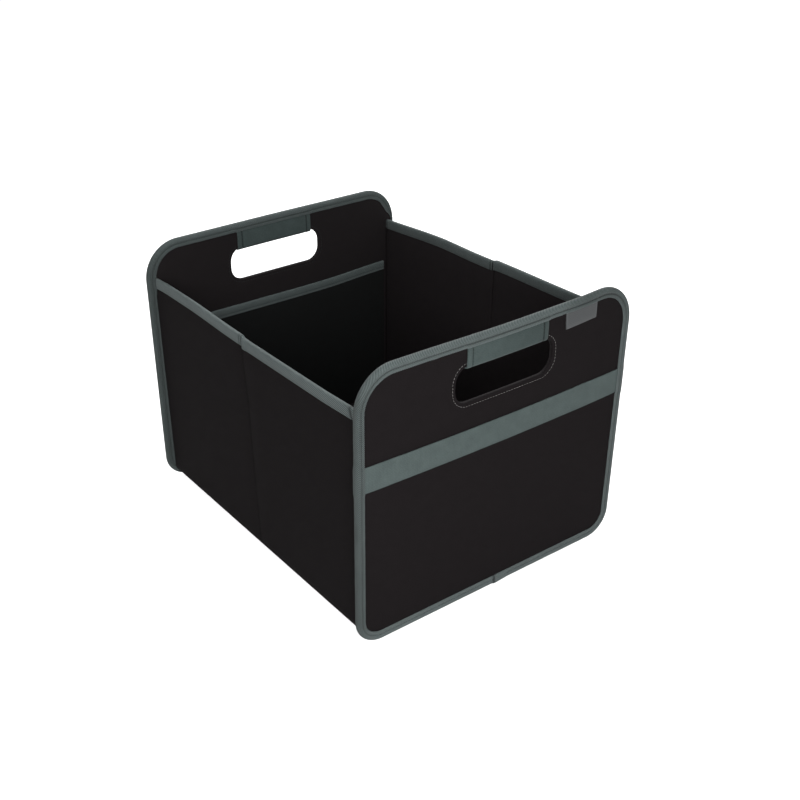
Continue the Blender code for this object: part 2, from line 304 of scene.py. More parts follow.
# Flat band and grips: brushed polyester tape with a mottled, felt-like face
GREY_BAND = Cloth("grey_brushed_band", "#4d5857", "#5f6968", Weave.FELTED, 1.4, 0.18, 0.84, 0.10, 0.08, 0.12)
# Grips: the same brushed tape, a shade darker
GREY_GRIP = Cloth("grey_brushed_grip", "#404b4a", "#525c5b", Weave.FELTED, 1.4, 0.18, 0.84, 0.10, 0.08, 0.12)
# Tag: close satin weave, smooth and neutral grey
GREY_TAG = Cloth("grey_satin_tag", "#464849", "#525456", Weave.RIB, 0.8, 0.08, 0.6, 0.2, 0.08, 0.05)
# Bonded polyester sewing threads: twisted, with a slight gloss
PALE_THREAD = Cloth("pale_sewing_thread", "#918f8d", "#aaa8a6", Weave.RIB, 0.5, 0.05, 0.55, 0.25, 0.05, 0.05)
GREY_THREAD = Cloth("grey_sewing_thread", "#2f3636", "#444c4b", Weave.RIB, 0.5, 0.05, 0.6, 0.2, 0.05, 0.05)
DARK_THREAD = Cloth("dark_sewing_thread", "#1d2121", "#2b3030", Weave.RIB, 0.5, 0.05, 0.6, 0.2, 0.05, 0.05)
# Grey chipboard that stiffens the panels, hidden between the covers
GREY_BOARD = Cloth("grey_chipboard", "#8d8474", "#9b9281", Weave.FELTED, 2.0, 0.10, 0.9, 0.2, 0.0, 0.06)
# Thin polyethylene foam in the bottom
PAD_FOAM = Cloth("grey_pad_foam", "#8a8a8a", "#979797", Weave.FELTED, 1.5, 0.20, 0.9, 0.2, 0.0, 0.05)


# Mesh making


def rest_all() -> None:
    """Deselects everything, so that an operator acts on the new piece alone."""
    bpy.ops.object.select_all(action="DESELECT")


def soften_look(piece: bpy.types.Object) -> None:
    """Shades a piece smooth, with its sharp edges kept."""
    piece.data.shade_smooth()
    piece.data.set_sharp_from_angle(angle=math.radians(SMOOTH_ANGLE))


def new_piece(
    name: str,
    points: Sequence[Vector],
    faces: Sequence[tuple[int, ...]],
    marks: Sequence[Point],
    finish: Cloth,
    tones: Sequence[float] | None = None,
) -> bpy.types.Object:
    """Makes a closed piece, with every face turned outwards.

    Args:
        name: The piece's name.
        points: Its points.
        faces: The points of each face.
        marks: The cloth's UV in metres at each corner of each face.
        finish: What it is made of.
        tones: How much paler, or darker where negative, the cloth is at each point, as a share.

    Returns:
        The piece.
    """
    mesh = bpy.data.meshes.new(name)
    mesh.from_pydata(points, [], faces)
    mesh.uv_layers.new(name=CLOTH_UV).data.foreach_set("uv", [value for mark in marks for value in mark])
    if tones:
        mesh.attributes.new(TONE, "FLOAT", "POINT").data.foreach_set("value", tones)
    mesh.materials.append(finish.material())
    piece = bpy.data.objects.new(name, mesh)
    bpy.context.scene.collection.objects.link(piece)
    rest_all()
    piece.select_set(True)
    bpy.context.view_layer.objects.active = piece
    bpy.ops.object.mode_set(mode="EDIT")
    bpy.ops.mesh.select_all(action="SELECT")
    bpy.ops.mesh.normals_make_consistent(inside=False)
    bpy.ops.object.mode_set(mode="OBJECT")
    piece.select_set(False)
    soften_look(piece)
    return piece


def runs(points: Sequence[Sequence[float]], closed: bool) -> list[float]:
    """Distances along a line of points.

    Args:
        points: The line.
        closed: Whether the last point joins the first; the whole length is then the last entry.

    Returns:
        One distance a point, and one more where it is closed.
    """
    line = list(points) + ([points[0]] if closed else [])
    found = [0.0]
    for a, b in zip(line, line[1:]):
        found.append(found[-1] + math.dist(a, b))
    return found


def loft(
    name: str,
    loops: Sequence[Loop],
    uv: Callable[[int, int], Point],
    finish: Cloth,
    ring: bool = False,
    tone: Tone | None = None,
) -> bpy.types.Object:
    """Skins a row of closed loops, which all have as many points.

    Args:
        name: The piece's name.
        loops: The loops, in order.
        uv: The cloth's UV in metres for a loop and a point; both may be one past the last at a seam.
        finish: What it is made of.
        ring: Whether the last loop joins the first; otherwise both ends are capped.
        tone: How much paler, or darker where negative, the cloth is at a loop and a point, as a share.

    Returns:
        The piece, closed and facing outwards.
    """
    count = len(loops[0])
    faces: list[tuple[int, ...]] = []
    corners: list[Point] = []
    for i in range(len(loops) if ring else len(loops) - 1):
        k = (i + 1) % len(loops)
        for j in range(count):
            m = (j + 1) % count
            faces.append((i * count + j, i * count + m, k * count + m, k * count + j))
            corners += [uv(i, j), uv(i, j + 1), uv(i + 1, j + 1), uv(i + 1, j)]
    if not ring:
        for i in (0, len(loops) - 1):
            faces.append(tuple(i * count + j for j in range(count)))
            corners += [uv(i, j) for j in range(count)]
    tones = [tone(i, j) for i in range(len(loops)) for j in range(count)] if tone else None
    return new_piece(name, [p for loop in loops for p in loop], faces, corners, finish, tones)


@dataclass(frozen=True)
class Seam:
    """A row of stitches in one thread."""

    finish: Cloth
    pitch: float = 3.0 * MM
    length: float = 2.2 * MM
    radius: float = 0.19 * MM
    sides: int = 6
    stands_up: float = 0.6
    sinks: float = 1.1

    def one_stitch(self) -> Stitches:
        """Models one stitch along X, with both ends sunk into the cloth.

        Returns:
            Its points and its faces.
        """
        rest_all()
        bpy.ops.mesh.primitive_uv_sphere_add(segments=self.sides, ring_count=self.sides, radius=self.radius)
        stitch = bpy.context.object
        bpy.ops.object.mode_set(mode="EDIT")
        bpy.ops.mesh.select_all(action="SELECT")
        bpy.ops.transform.rotate(
            value=math.pi / 2, orient_axis="Y", orient_type="GLOBAL", center_override=(0.0, 0.0, 0.0)
        )
        bpy.ops.transform.resize(value=(self.length / (2.0 * self.radius), 1.0, 1.0), center_override=(0.0, 0.0, 0.0))
        bpy.ops.object.mode_set(mode="OBJECT")
        points = []
        for vertex in stitch.data.vertices:
            share = 2.0 * vertex.co.x / self.length
            up = vertex.co.z + self.stands_up * self.radius - self.sinks * self.radius * share * share
            points.append(Vector((vertex.co.x, vertex.co.y, up)))
        faces = [tuple(face.vertices) for face in stitch.data.polygons]
        bpy.data.objects.remove(stitch, do_unlink=True)
        return points, faces

    def sew(self, name: str, path: Sequence[tuple[Vector, Vector]], body: str) -> None:
        """Sews along a path, with all the stitches as one piece.

        Args:
            name: The piece's name.
            path: Places on the cloth, each with the way that the cloth faces there.
            body: The body that it rides on.
        """
        template, template_faces = self.one_stitch()
        along = runs([place for place, _ in path], closed=False)
        number = int(along[-1] / self.pitch)
        spare = along[-1] - number * self.pitch
        points: list[Vector] = []
        faces: list[tuple[int, ...]] = []
        marks: list[Point] = []
        span = 0
        for index in range(number):
            at = spare / 2.0 + (index + 0.5) * self.pitch
            while span < len(along) - 2 and along[span + 1] < at:
                span += 1
            (a, facing_a), (b, facing_b) = path[span], path[span + 1]
            share = (at - along[span]) / max(along[span + 1] - along[span], 1e-9)
            tangent = (b - a).normalized()
            facing = facing_a.lerp(facing_b, share)
            facing = (facing - tangent * facing.dot(tangent)).normalized()
            sideways = facing.cross(tangent)
            middle = a.lerp(b, share)
            start = len(points)
            points += [middle + tangent * p.x + sideways * p.y + facing * p.z for p in template]
            marks += [(at + template[v].x, template[v].y) for face in template_faces for v in face]
            faces += [tuple(start + v for v in face) for face in template_faces]
        seam = new_piece(name, points, faces, marks, self.finish)
        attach(seam, body)


def arc(centre: Point, radius: float, start: float, end: float, steps: int) -> list[Point]:
    """Points along an arc.

    Args:
        centre: Middle of the arc.
        radius: Its radius.
        start: First angle, in degrees.
        end: Last angle, in degrees.
        steps: How many steps.

    Returns:
        The points, both ends included.
    """
    turns = [math.radians(start + (end - start) * i / steps) for i in range(steps + 1)]
    return [(centre[0] + radius * math.cos(t), centre[1] + radius * math.sin(t)) for t in turns]


def rounded(corners: Sequence[tuple[Point, float]], steps: int) -> list[Point]:
    """A closed outline with four round corners.

    Args:
        corners: Each corner's centre and radius, from the lower right one on, anticlockwise.
        steps: How many steps a corner has.

    Returns:
        The outline's points.
    """
    points: list[Point] = []
    for (centre, radius), start in zip(corners, (-90.0, 0.0, 90.0, 180.0)):
        points += arc(centre, radius, start, start + 90.0, steps)
    return points


def strip(
    name: str, xs: Sequence[float], loops: Sequence[Loop], finish: Cloth, tone: Tone | None = None
) -> bpy.types.Object:
    """Lofts a strip of cloth that runs along X.

    Args:
        name: The piece's name.
        xs: Where the sections are.
        loops: The sections.
        finish: What it is made of.
        tone: How much paler the cloth is at a point of a section.

    Returns:
        The piece.
    """
    across = runs([(p.y, p.z) for p in loops[len(loops) // 2]], closed=True)
    return loft(name, loops, lambda i, j: (xs[i], across[j]), finish, tone=tone)


def reach(outline: Sequence[Point], centre: Point, turn: float) -> float:
    """How far a ray from a centre goes to a closed outline round it.

    Args:
        outline: The outline's corners.
        centre: Where the ray starts.
        turn: The ray's angle.

    Returns:
        The distance.
    """
    cos, sin = math.cos(turn), math.sin(turn)
    best = 0.0
    for (ax, az), (bx, bz) in zip(outline, list(outline[1:]) + [outline[0]]):
        side_a = (ax - centre[0]) * sin - (az - centre[1]) * cos
        side_b = (bx - centre[0]) * sin - (bz - centre[1]) * cos
        if (side_a > 0.0) == (side_b > 0.0):
            continue
        share = side_a / (side_a - side_b)
        x = ax + (bx - ax) * share - centre[0]
        z = az + (bz - az) * share - centre[1]
        best = max(best, x * cos + z * sin)
    return best


# End panels


# A leg of the edge tape, from its free edge to the roll: share of the leg's width, and depth in mm
TAPE_LEG = (
    (1.00, 3.25),
    (0.965, 3.60),
    (0.86, 3.72),
    (0.72, 3.66),
    (0.65, 3.30),
    (0.60, 3.10),
    (0.55, 3.30),
    (0.48, 3.70),
    (0.40, 3.80),
)
# The tape's roll over the edge: turns from the leg to the crown, in radians
TAPE_ROLL = (1.45, 1.2, 0.95, 0.7, 0.45, 0.22)
# A cover's cloth as it turns in through the hand slot: distance out from the slot, and depth, in mm
SLOT_TURN = (
    (0.0, 0.03),
    (0.0, 0.9),
    (0.06, 1.6),
    (0.35, 2.15),
    (0.9, 2.48),
    (1.8, 2.56),
    (2.8, 2.42),
    (3.4, 2.28),
    (4.0, 2.42),
    (5.2, 2.56),
    (8.0, 2.6),
)
# The grip's wrap from the edge tape down to its fold: height and depth in mm
WRAP_FACE = (
    (271.2, 2.85),
    (268.6, 2.95),
    (267.2, 3.30),
    (265.0, 3.62),
    (260.0, 3.76),
    (255.5, 3.80),
    (252.6, 3.80),
    (251.0, 3.66),
    (249.8, 3.25),
    (248.9, 2.50),
    (248.4, 1.45),
)
# The same wrap's hidden side, against the cover
WRAP_INSIDE = ((271.2, 2.72), (252.0, 2.95), (250.0, 2.2))
# Distances in mm from the wrap's end, close together at the cut edge and at the hem's stitches
WRAP_END = (0.0, 0.25, 0.8, 2.0, 4.2, 5.0, 5.6, 6.2, 7.2, 9.0)


@dataclass(frozen=True)
class Station:
    """A place on an end panel's outline, with the way out of the panel and the distance along the edge."""

    x: float
    z: float
    out_x: float
    out_z: float
    run: float


@dataclass
class EndPanel:
    """One end panel: two covers over a board, tape folded over the edge, and a bound grip above the hand slot.

    Depths are measured from the panel's middle plane, positive towards the outside of the box.
    """

    name: str
    end: End
    body: str
    half_width: float = 158.5 * MM
    low: float = 1.1 * MM
    high: float = 277.4 * MM
    sag: float = 1.4 * MM
    tilt: float = 0.0
    corner_lift: float = 0.0
    foot_spread: float = 1.004
    head_spread: float = 0.995
    top_radius: float = 39.2 * MM
    low_radius: float = 27.2 * MM
    middle: float = 181.2 * MM
    half_thickness: float = 3.8 * MM
    cover_face: float = 2.6 * MM
    cover_thickness: float = 0.85 * MM
    cover_inset: float = 1.25 * MM
    slot_length: float = 113.5 * MM
    slot_low: float = 215.0 * MM
    slot_high: float = 251.0 * MM
    slot_radius: float = 14.5 * MM
    slot_shift: float = 2.7 * MM
    wrap_half: float = 46.7 * MM
    wrap_shift: float = 3.9 * MM
    tape_top: float = 9.0 * MM
    tape_bottom: float = 10.5 * MM
    tape_left: float = 8.0 * MM
    tape_right: float = 9.7 * MM
    tape_flat: float = 28.0 * MM
    tape_clear: float = 0.12 * MM
    roll: float = 3.3 * MM
    wander_reach: float = 0.18 * MM
    stitch_line: float = 0.60
    edge_spacing: float = 1.0 * MM
    turn_in: float = 8.0 * MM
    hem: float = 5.6 * MM
    wrap_flat: float = 50.0 * MM

    @property
    def slot_x(self) -> float:
        """Middle of the hand slot, which lies to the right of the panel's middle as seen from outside."""
        return -self.end.value * self.slot_shift

    @property
    def wrap_x(self) -> float:
        """Middle of the grip's wrap, which isn't quite the slot's."""
        return -self.end.value * self.wrap_shift

    @property
    def slot_centre(self) -> Point:
        """Middle of the hand slot."""
        return self.slot_x, (self.slot_low + self.slot_high) / 2.0

    def place(self, x: float, z: float, depth: float) -> Vector:
        """Puts a point of the panel in the box: the top edge sags a little, and the sides lean in by a millimetre."""
        pressed = self.sag * smooth_step(z, 0.6 * self.high, self.high) * dip(x, 0.0, 75.0 * MM)
        taper = self.foot_spread + (self.head_spread - self.foot_spread) * z / self.high
        raised = self.tilt * x * z / self.high
        raised += self.corner_lift * smooth_step(x, 85.0 * MM, 130.0 * MM) * smooth_step(z, 225.0 * MM, 262.0 * MM)
        return Vector((x * taper, self.end.value * (self.middle + depth), z - pressed + raised))

    def facing(self, face: int) -> Vector:
        """The way that the outer (+1) or inner (-1) face looks."""
        return Vector((0.0, float(self.end.value * face), 0.0))

    def outline(self, inset: float, steps: int = 10) -> list[Point]:
        """The panel's outline, moved in by a distance."""
        half, top, low = self.half_width, self.top_radius, self.low_radius
        lower = [((x, self.low + low), low - inset) for x in (half - low, low - half)]
        upper = [((x, self.high - top), top - inset) for x in (half - top, top - half)]
        return rounded([lower[0], *upper, lower[1]], steps)

    def slot_outline(self, grow: float, steps: int = 12) -> list[Point]:
        """The hand slot's outline, grown by a distance."""
        half_x = self.slot_length / 2.0 - self.slot_radius
        half_z = (self.slot_high - self.slot_low) / 2.0 - self.slot_radius
        (x, z), radius = self.slot_centre, self.slot_radius + grow
        turns = ((1, -1), (1, 1), (-1, 1), (-1, -1))
        return rounded([((x + half_x * right, z + half_z * up), radius) for right, up in turns], steps)

    def stations(self) -> list[Station]:
        """Places round the outline, from the middle of the bottom edge.

        Returns:
            The places, close enough for bumps under the tape.
        """
        outer = [(0.0, self.low)] + self.outline(0.0, steps=24)
        found: list[Station] = []
        run = 0.0
        for (ax, az), (bx, bz) in zip(outer, outer[1:] + [outer[0]]):
            length = math.dist((ax, az), (bx, bz))
            if length < 1e-7:
                continue
            cuts = max(1, round(length / self.edge_spacing))
            for i in range(cuts):
                share = i / cuts
                x, z = ax + (bx - ax) * share, az + (bz - az) * share
                found.append(Station(x, z, *self.way_out(x, z), run + length * share))
            run += length
        return found

    def way_out(self, x: float, z: float) -> Point:
        """The way out of the panel at a place on its outline."""
        radius = self.low_radius if z < self.high / 2.0 else self.top_radius
        centre_x = max(radius - self.half_width, min(self.half_width - radius, x))
        centre_z = max(self.low + self.low_radius, min(self.high - self.top_radius, z))
        away = math.hypot(x - centre_x, z - centre_z)
        return (x - centre_x) / away, (z - centre_z) / away

    def tape_width(self, station: Station, face: int) -> float:
        """Width of a leg of the tape, which the sewer let wander, and trimmed above the right wall's rim."""
        right = station.out_x * -self.end.value > 0.0
        level = self.tape_right if right else self.tape_left
        upright = self.tape_top if station.out_z > 0.0 else self.tape_bottom
        width = level * station.out_x**2 + upright * station.out_z**2
        if self.end is End.BACK and face < 0 and station.x > 0.0:
            width += 1.0 * MM * plateau(station.z, 255.0 * MM, 264.0 * MM, 6.0 * MM)
            width *= 1.0 - 0.53 * plateau(station.z, 226.0 * MM, 239.0 * MM, 14.0 * MM)
        return width + self.wander_reach * wander(station.run, 0.0, 9.0 * MM, 3.0 + self.end.value)

    def lift(self, station: Station, face: int) -> float:
        """How far the tape's leg stands up over the cloth that is sewn in under it."""
        near_top = smooth_step(station.z, self.high - 20.0 * MM, self.high - 10.0 * MM)
        grip = plateau(station.x, self.wrap_x - self.wrap_half, self.wrap_x + self.wrap_half, 2.5 * MM) * near_top
        raised = 0.75 * MM * grip
        if face > 0 and self.end is End.FRONT:
            raised += 0.75 * MM * plateau(station.z, 165.5 * MM, 189.5 * MM, 2.5 * MM) * station.out_x**2
            raised += 0.5 * MM * plateau(station.x, 73.0 * MM, 109.5 * MM, 2.0 * MM) * near_top
        return raised

    def tape_section(self, station: Station, swell: float = 0.0) -> list[Point]:
        """The folded tape's section at a place: distance in from the edge, and depth.

        Args:
            station: The place.
            swell: How far it stands off, as where one end laps over the other.

        Returns:
            A closed loop of points.
        """
        notch = 0.30 * MM * math.cos(math.pi * station.run / MM)
        inner = self.cover_face + self.tape_clear
        over: dict[int, list[Point]] = {}
        lining: dict[int, list[Point]] = {}
        for face in (1, -1):
            raised, width = self.lift(station, face), self.tape_width(station, face)
            over[face] = [(width, inner + raised * 0.9)]
            for share, depth in TAPE_LEG:
                up = raised * smooth_step(share, 0.30, 0.62)
                tip = notch if share > 0.9 else 0.0
                over[face].append((share * width + tip, depth * MM + up + swell))
            for t in TAPE_ROLL:
                over[face].append((self.roll * (1.0 - math.cos(t)), self.half_thickness * math.sin(t) + swell))
            lining[face] = [(0.55 * width, inner + 0.6 * raised), (0.30 * width, inner), (0.9 * MM, inner - 0.1 * MM)]
        section = over[1] + [(-swell, 0.0)] + [(n, -d) for n, d in reversed(over[-1])]
        return section + [(n, -d) for n, d in lining[-1]] + lining[1][::-1]

    def tape_loop(self, station: Station, swell: float = 0.0) -> Loop:
        """The tape's section, put in the box, and pushed out where the band's ends are sewn in under it."""
        pushed = 0.0
        if self.end is End.FRONT:
            pushed = 0.8 * MM * plateau(station.z, 167.0 * MM, 188.0 * MM, 7.0 * MM) * station.out_x**2
        loop = []
        for n, d in self.tape_section(station, swell):
            inward = n - pushed * max(0.0, 1.0 - n / (6.0 * MM))
            loop.append(self.place(station.x - station.out_x * inward, station.z - station.out_z * inward, d))
        return loop

    def edge_tape(self) -> None:
        """Twill tape folded over the edge, all the way round."""
        stations = self.stations()
        loops = [self.tape_loop(s) for s in stations]
        across = runs(self.tape_section(stations[0]), closed=True)
        total = stations[-1].run + self.edge_spacing

        def uv(i: int, j: int) -> Point:
            return (total if i == len(stations) else stations[i].run), across[j]

        def tone(i: int, j: int) -> float:
            return self.tape_tone(stations[i], j)

        tape = loft(self.name + "_edge_binding_tape", loops, uv, GREY_TWILL, ring=True, tone=tone)
        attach(tape, self.body)
        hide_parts(self.name + "_edge_binding")

    def tape_tone(self, station: Station, j: int) -> float:
        """How the tape's tone changes over its section.

        The roll over the edge gets a painted highlight where it faces up and painted shade where it faces sideways.
        The stitched grooves and the slit where the lap begins get painted shade. The back panel's tape, the front's
        left side and the right of its top edge are painted darker, as shade. The tape under the panel is a little
        paler. The ribs end in pale tips at the free edges.

        Args:
            station: Which place on the edge.
            j: Which point of the section.

        Returns:
            A share to add to the colour.
        """
        crown, stitched, free = 16, (6, 26), (1, 31)
        under = max(0.0, -station.out_z)
        painted_light_tone = 0.7 + 0.5 * wander(station.run, 0.0, 30.0 * MM, 7.0)
        tips = 0.5 + 0.5 * math.cos(math.pi * station.run / MM)
        upright = station.out_x**2
        # Painted highlight on the roll where it faces up, varied along the edge; painted shade where it faces sideways
        tone = (0.28 * painted_light_tone * (1.0 - under) - 0.44 * upright) * dip(j, crown, 5.0) + 0.15 * under
        # Painted shade: the back panel's tape is darker, more on its inner side along the sides; on the front, the left
        # side and the right of the top edge are darker
        if self.end is End.BACK:
            tone -= 0.14 + 0.22 * smooth_step(j, 17.0, 22.0) * upright
        elif station.x < 0.0:
            tone -= 0.22 * upright
        else:
            tone -= 0.30 * smooth_step(station.x, 50.0 * MM, 100.0 * MM) * max(0.0, station.out_z)
        # Painted shadow in the slit where the lap begins under the bottom edge
        slit_shadow = under**4 * dip(-self.end.value * station.x, 1.8 * MM, 0.7 * MM)
        tone += (0.04 + 0.26 * tips) * max(dip(j, line, 1.0) for line in free)
        if self.end is End.BACK and station.x > 0.0:
            tone += 0.45 * dip(j, free[1], 1.0) * plateau(station.z, 236.0 * MM, 262.0 * MM, 6.0 * MM)
        # Painted shade in the stitched grooves: light on the back panel, stronger along the front's top edge and over
        # the wraps, weaker under the front panel
        sewn = 0.10 if self.end is End.BACK else 0.25 + 0.35 * max(0.0, station.out_z) - 0.15 * under
        if station.z > 0.5 * self.high:
            sewn += 0.25 * plateau(station.x, self.wrap_x - self.wrap_half, self.wrap_x + self.wrap_half, 2.0 * MM)
        return tone - sewn * max(dip(j, line, 1.3) for line in stitched) - 0.8 * slit_shadow

    def tape_lap(self) -> None:
        """The tape's end, turned under and lapped over its start near the middle of the bottom edge."""
        start, end, cuts = 2.6 * MM, 20.0 * MM, 24
        xs = [start + (end - start) * i / cuts for i in range(cuts + 1)]
        loops = []
        for index, x in enumerate(xs):
            stand_off = (1.35 - 1.20 * index / cuts) * MM
            rolled_in = 0.45 * MM * (1.0 - smooth_step(index, -0.5, 1.5))
            loops.append(self.tape_loop(self.under_edge(x), stand_off - rolled_in))
        across = runs(self.tape_section(self.under_edge(0.0)), closed=True)

        def tone(i: int, j: int) -> float:
            ribs = 0.10 + 0.22 * math.cos(math.pi * i)
            # Painted shade at the lap's turned-under end; the ribs alternate paler and darker along the lap
            return self.tape_tone(self.under_edge(xs[i]), j) + ribs - 0.85 * dip(i, 0.0, 0.9)

        def uv(i: int, j: int) -> Point:
            return xs[i] + 0.4 * MM, across[j]

        lap = loft(self.name + "_edge_binding_lap", loops, uv, GREY_TWILL, tone=tone)
        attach(lap, self.body)

    def under_edge(self, x: float) -> Station:
        """A place on the bottom edge, to the right of the middle as seen from outside."""
        return Station(-self.end.value * x, self.low, 0.0, -1.0, x)

    def tape_seams(self) -> None:
        """Lock stitches along both legs of the edge tape."""
        stations = self.stations()
        for face, label in ((1, "outer"), (-1, "inner")):
            path = []
            for s in stations + [stations[0]]:
                n = self.stitch_line * self.tape_width(s, face)
                depth = 3.22 * MM + self.lift(s, face) * smooth_step(self.stitch_line, 0.30, 0.62)
                path.append((self.place(s.x - s.out_x * n, s.z - s.out_z * n, face * depth), self.facing(face)))
            Seam(GREY_THREAD).sew(f"{self.name}_binding_seam_{label}", path, self.body)

    def cover(self, face: int) -> None:
        """One cover: cloth drawn over the board and turned in through the hand slot.

        Args:
            face: +1 for the outer cover and -1 for the inner one.
        """
        rays, far_steps = 240, 40
        centre = self.slot_centre
        turns = [2.0 * math.pi * (k + 0.5) / rays for k in range(rays)]
        top, under = self.cover_face, self.cover_face - self.cover_thickness
        spec: list[tuple[str, float, float]] = [("slot", g * MM, d * MM) for g, d in SLOT_TURN]
        spec += [("panel", (i / far_steps) ** 0.9, top) for i in range(1, far_steps + 1)]
        spec += [("panel", 1.0, under), ("panel", 0.5, under), ("slot", self.turn_in, under)]
        spec += [("slot", 2.0 * MM, under), ("slot", 0.8 * MM, 1.3 * MM), ("slot", 0.7 * MM, 0.03 * MM)]
        edge = [reach(self.outline(self.cover_inset), centre, t) for t in turns]
        hem = [reach(self.slot_outline(self.turn_in), centre, t) for t in turns]
        loops: list[Loop] = []
        for kind, value, depth in spec:
            if kind == "slot":
                lengths = [reach(self.slot_outline(value), centre, t) for t in turns]
            else:
                lengths = [h + (e - h) * value for h, e in zip(hem, edge)]
            loop = []
            for turn, length in zip(turns, lengths):
                x, z = centre[0] + length * math.cos(turn), centre[1] + length * math.sin(turn)
                slack = 0.0
                if kind == "panel" and depth == top and value < 0.97:
                    slack = self.slack(x, z, face) * smooth_step(value, 0.0, 0.15)
                loop.append(self.place(x, z, face * (depth + slack)))
            loops.append(loop)
        if face > 0:
            label, finish, slot = "outer", BLACK_OXFORD, "black_cloth"
        else:
            label, finish, slot = "inner", BLACK_LINING, "black_lining"

        def uv(i: int, j: int) -> Point:
            point = loops[i % len(loops)][j % rays]
            return point.x, point.z

        cover = loft(f"{self.name}_{label}_cloth", loops, uv, finish, ring=True)
        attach(cover, self.body)
        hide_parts(f"{self.name}_{label}_cover")

    def board(self) -> None:
        """The chipboard that stiffens the panel, cut out round the hand slot."""
        rays, half, margin = 96, 1.35 * MM, 3.5 * MM
        turns = [2.0 * math.pi * (k + 0.5) / rays for k in range(rays)]
        near = [reach(self.slot_outline(1.2 * MM), self.slot_centre, t) for t in turns]
        far = [reach(self.outline(margin), self.slot_centre, t) for t in turns]
        loops = []
        for lengths, depth in ((near, -half), (near, half), (far, half), (far, -half)):
            spots = [
                (self.slot_centre[0] + length * math.cos(t), self.slot_centre[1] + length * math.sin(t))
                for length, t in zip(lengths, turns)
            ]
            loops.append([self.place(x, z, depth) for x, z in spots])

        def uv(i: int, j: int) -> Point:
            point = loops[i % len(loops)][j % rays]
            return point.x + point.y, point.z

        board = loft(self.name + "_stiff_board", loops, uv, GREY_BOARD, ring=True)
        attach(board, self.body)
        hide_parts(self.name + "_board")

    def slack(self, x: float, z: float, face: int) -> float:
        """How far the cover's cloth stands off the board."""
        edge = min(self.half_width - abs(x), z, self.high - z)
        drawn_down = 0.30 * MM * (1.0 - smooth_step(edge, 11.0 * MM, 26.0 * MM))
        swell = 0.16 * MM * wander(x, z, 75.0 * MM, 11.0 * self.end.value + face)
        ripple = 0.05 * MM * wander(x, z, 22.0 * MM, 5.0 + face)
        return min(0.28 * MM, 0.1 * MM + swell + ripple) - 0.6 * drawn_down

    def slot_seams(self) -> None:
        """Pale topstitching round the hand slot, which passes under the grip's wrap."""
        for face, label in ((1, "outer"), (-1, "inner")):
            outline = self.slot_outline(3.4 * MM, steps=16)
            right, left = self.wrap_x + self.wrap_half, self.wrap_x - self.wrap_half
            upper = [i for i, (_, z) in enumerate(outline) if z > 240.0 * MM]
            start = next(i for i in upper if outline[i][0] < right)
            stop = next(i for i in upper if outline[i][0] < left)
            shown = outline[stop:] + outline[:start]
            path = [(self.place(x, z, face * 2.34 * MM), self.facing(face)) for x, z in shown]
            thread = PALE_THREAD if face > 0 else GREY_THREAD
            seam = Seam(thread, pitch=3.1 * MM, length=2.0 * MM, radius=0.17 * MM)
            seam.sew(f"{self.name}_slot_seam_{label}", path, self.body)

    def grip_wrap(self) -> None:
        """Brushed tape folded round the grip from below, with hemmed ends sewn down."""
        half, hem, middle, steps = self.wrap_half, self.hem, self.wrap_half - 12.0 * MM, 16
        xs = [-half + o * MM for o in WRAP_END] + [-middle + 2.0 * middle * i / steps for i in range(steps + 1)]
        xs += [half - o * MM for o in reversed(WRAP_END)]
        loops: list[Loop] = []
        for x in xs:
            from_end = half - abs(x)
            doubled = 0.16 * (1.0 - smooth_step(from_end, hem - 0.9 * MM, hem + 0.6 * MM))
            groove = 0.24 * dip(from_end, hem, 0.55 * MM)
            add = doubled - groove - 0.35 * (1.0 - smooth_step(from_end, -0.1 * MM, 0.9 * MM))
            outer = [(z, d + add + 0.10 * wander(x, z * MM, 16.0 * MM, 9.0)) for z, d in WRAP_FACE]
            section = outer + [(WRAP_FACE[-1][0] - 0.12 - 0.3 * add, 0.0)] + [(z, -d) for z, d in reversed(outer)]
            section += [(z, -d) for z, d in WRAP_INSIDE] + [(249.5, 0.0)] + list(reversed(WRAP_INSIDE))
            loops.append([self.place(self.wrap_x + x, z * MM, d * MM) for z, d in section])

        def tone(i: int, j: int) -> float:
            from_end = half - abs(xs[i])
            low = min(abs(j - len(WRAP_FACE)), abs(j - len(WRAP_FACE) + 2)) < 2
            # Painted light: the front wrap is paler at its left and darker at its right, and the hems' stitched grooves
            # get painted shade
            painted_light_gradient = 0.14 - 0.34 * (xs[i] + half) / (2.0 * half) if self.end is End.FRONT else 0.0
            return (0.22 if low else 0.0) - 0.62 * dip(from_end, hem, 0.7 * MM) + painted_light_gradient

        wrap = strip(self.name + "_grip_wrap", xs, loops, GREY_GRIP, tone)
        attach(wrap, self.body)
        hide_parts(self.name + "_handle_wrap")

    def grip_seams(self) -> None:
        """Dark stitches that hold the wrap's two hems."""
        seam = Seam(DARK_THREAD, pitch=2.6 * MM, length=1.9 * MM, radius=0.26 * MM)
        heights = [250.5 * MM + i * 1.6 * MM for i in range(11)]
        for face, label in ((1, "outer"), (-1, "inner")):
            for sign, hand in ((-1, "a"), (1, "b")):
                x = self.wrap_x + sign * (self.wrap_half - self.hem)
                path = [(self.place(x, z, face * 3.62 * MM), self.facing(face)) for z in heights]
                seam.sew(f"{self.name}_grip_seam_{label}_{hand}", path, self.body)

    def build(self) -> None:
        """Makes every piece of the panel."""
        self.board()
        for face in (1, -1):
            self.cover(face)
        self.edge_tape()
        self.tape_lap()
        self.tape_seams()
        self.grip_wrap()
        self.grip_seams()
        self.slot_seams()
        LOG.info("%s end panel is dressed", self.name)


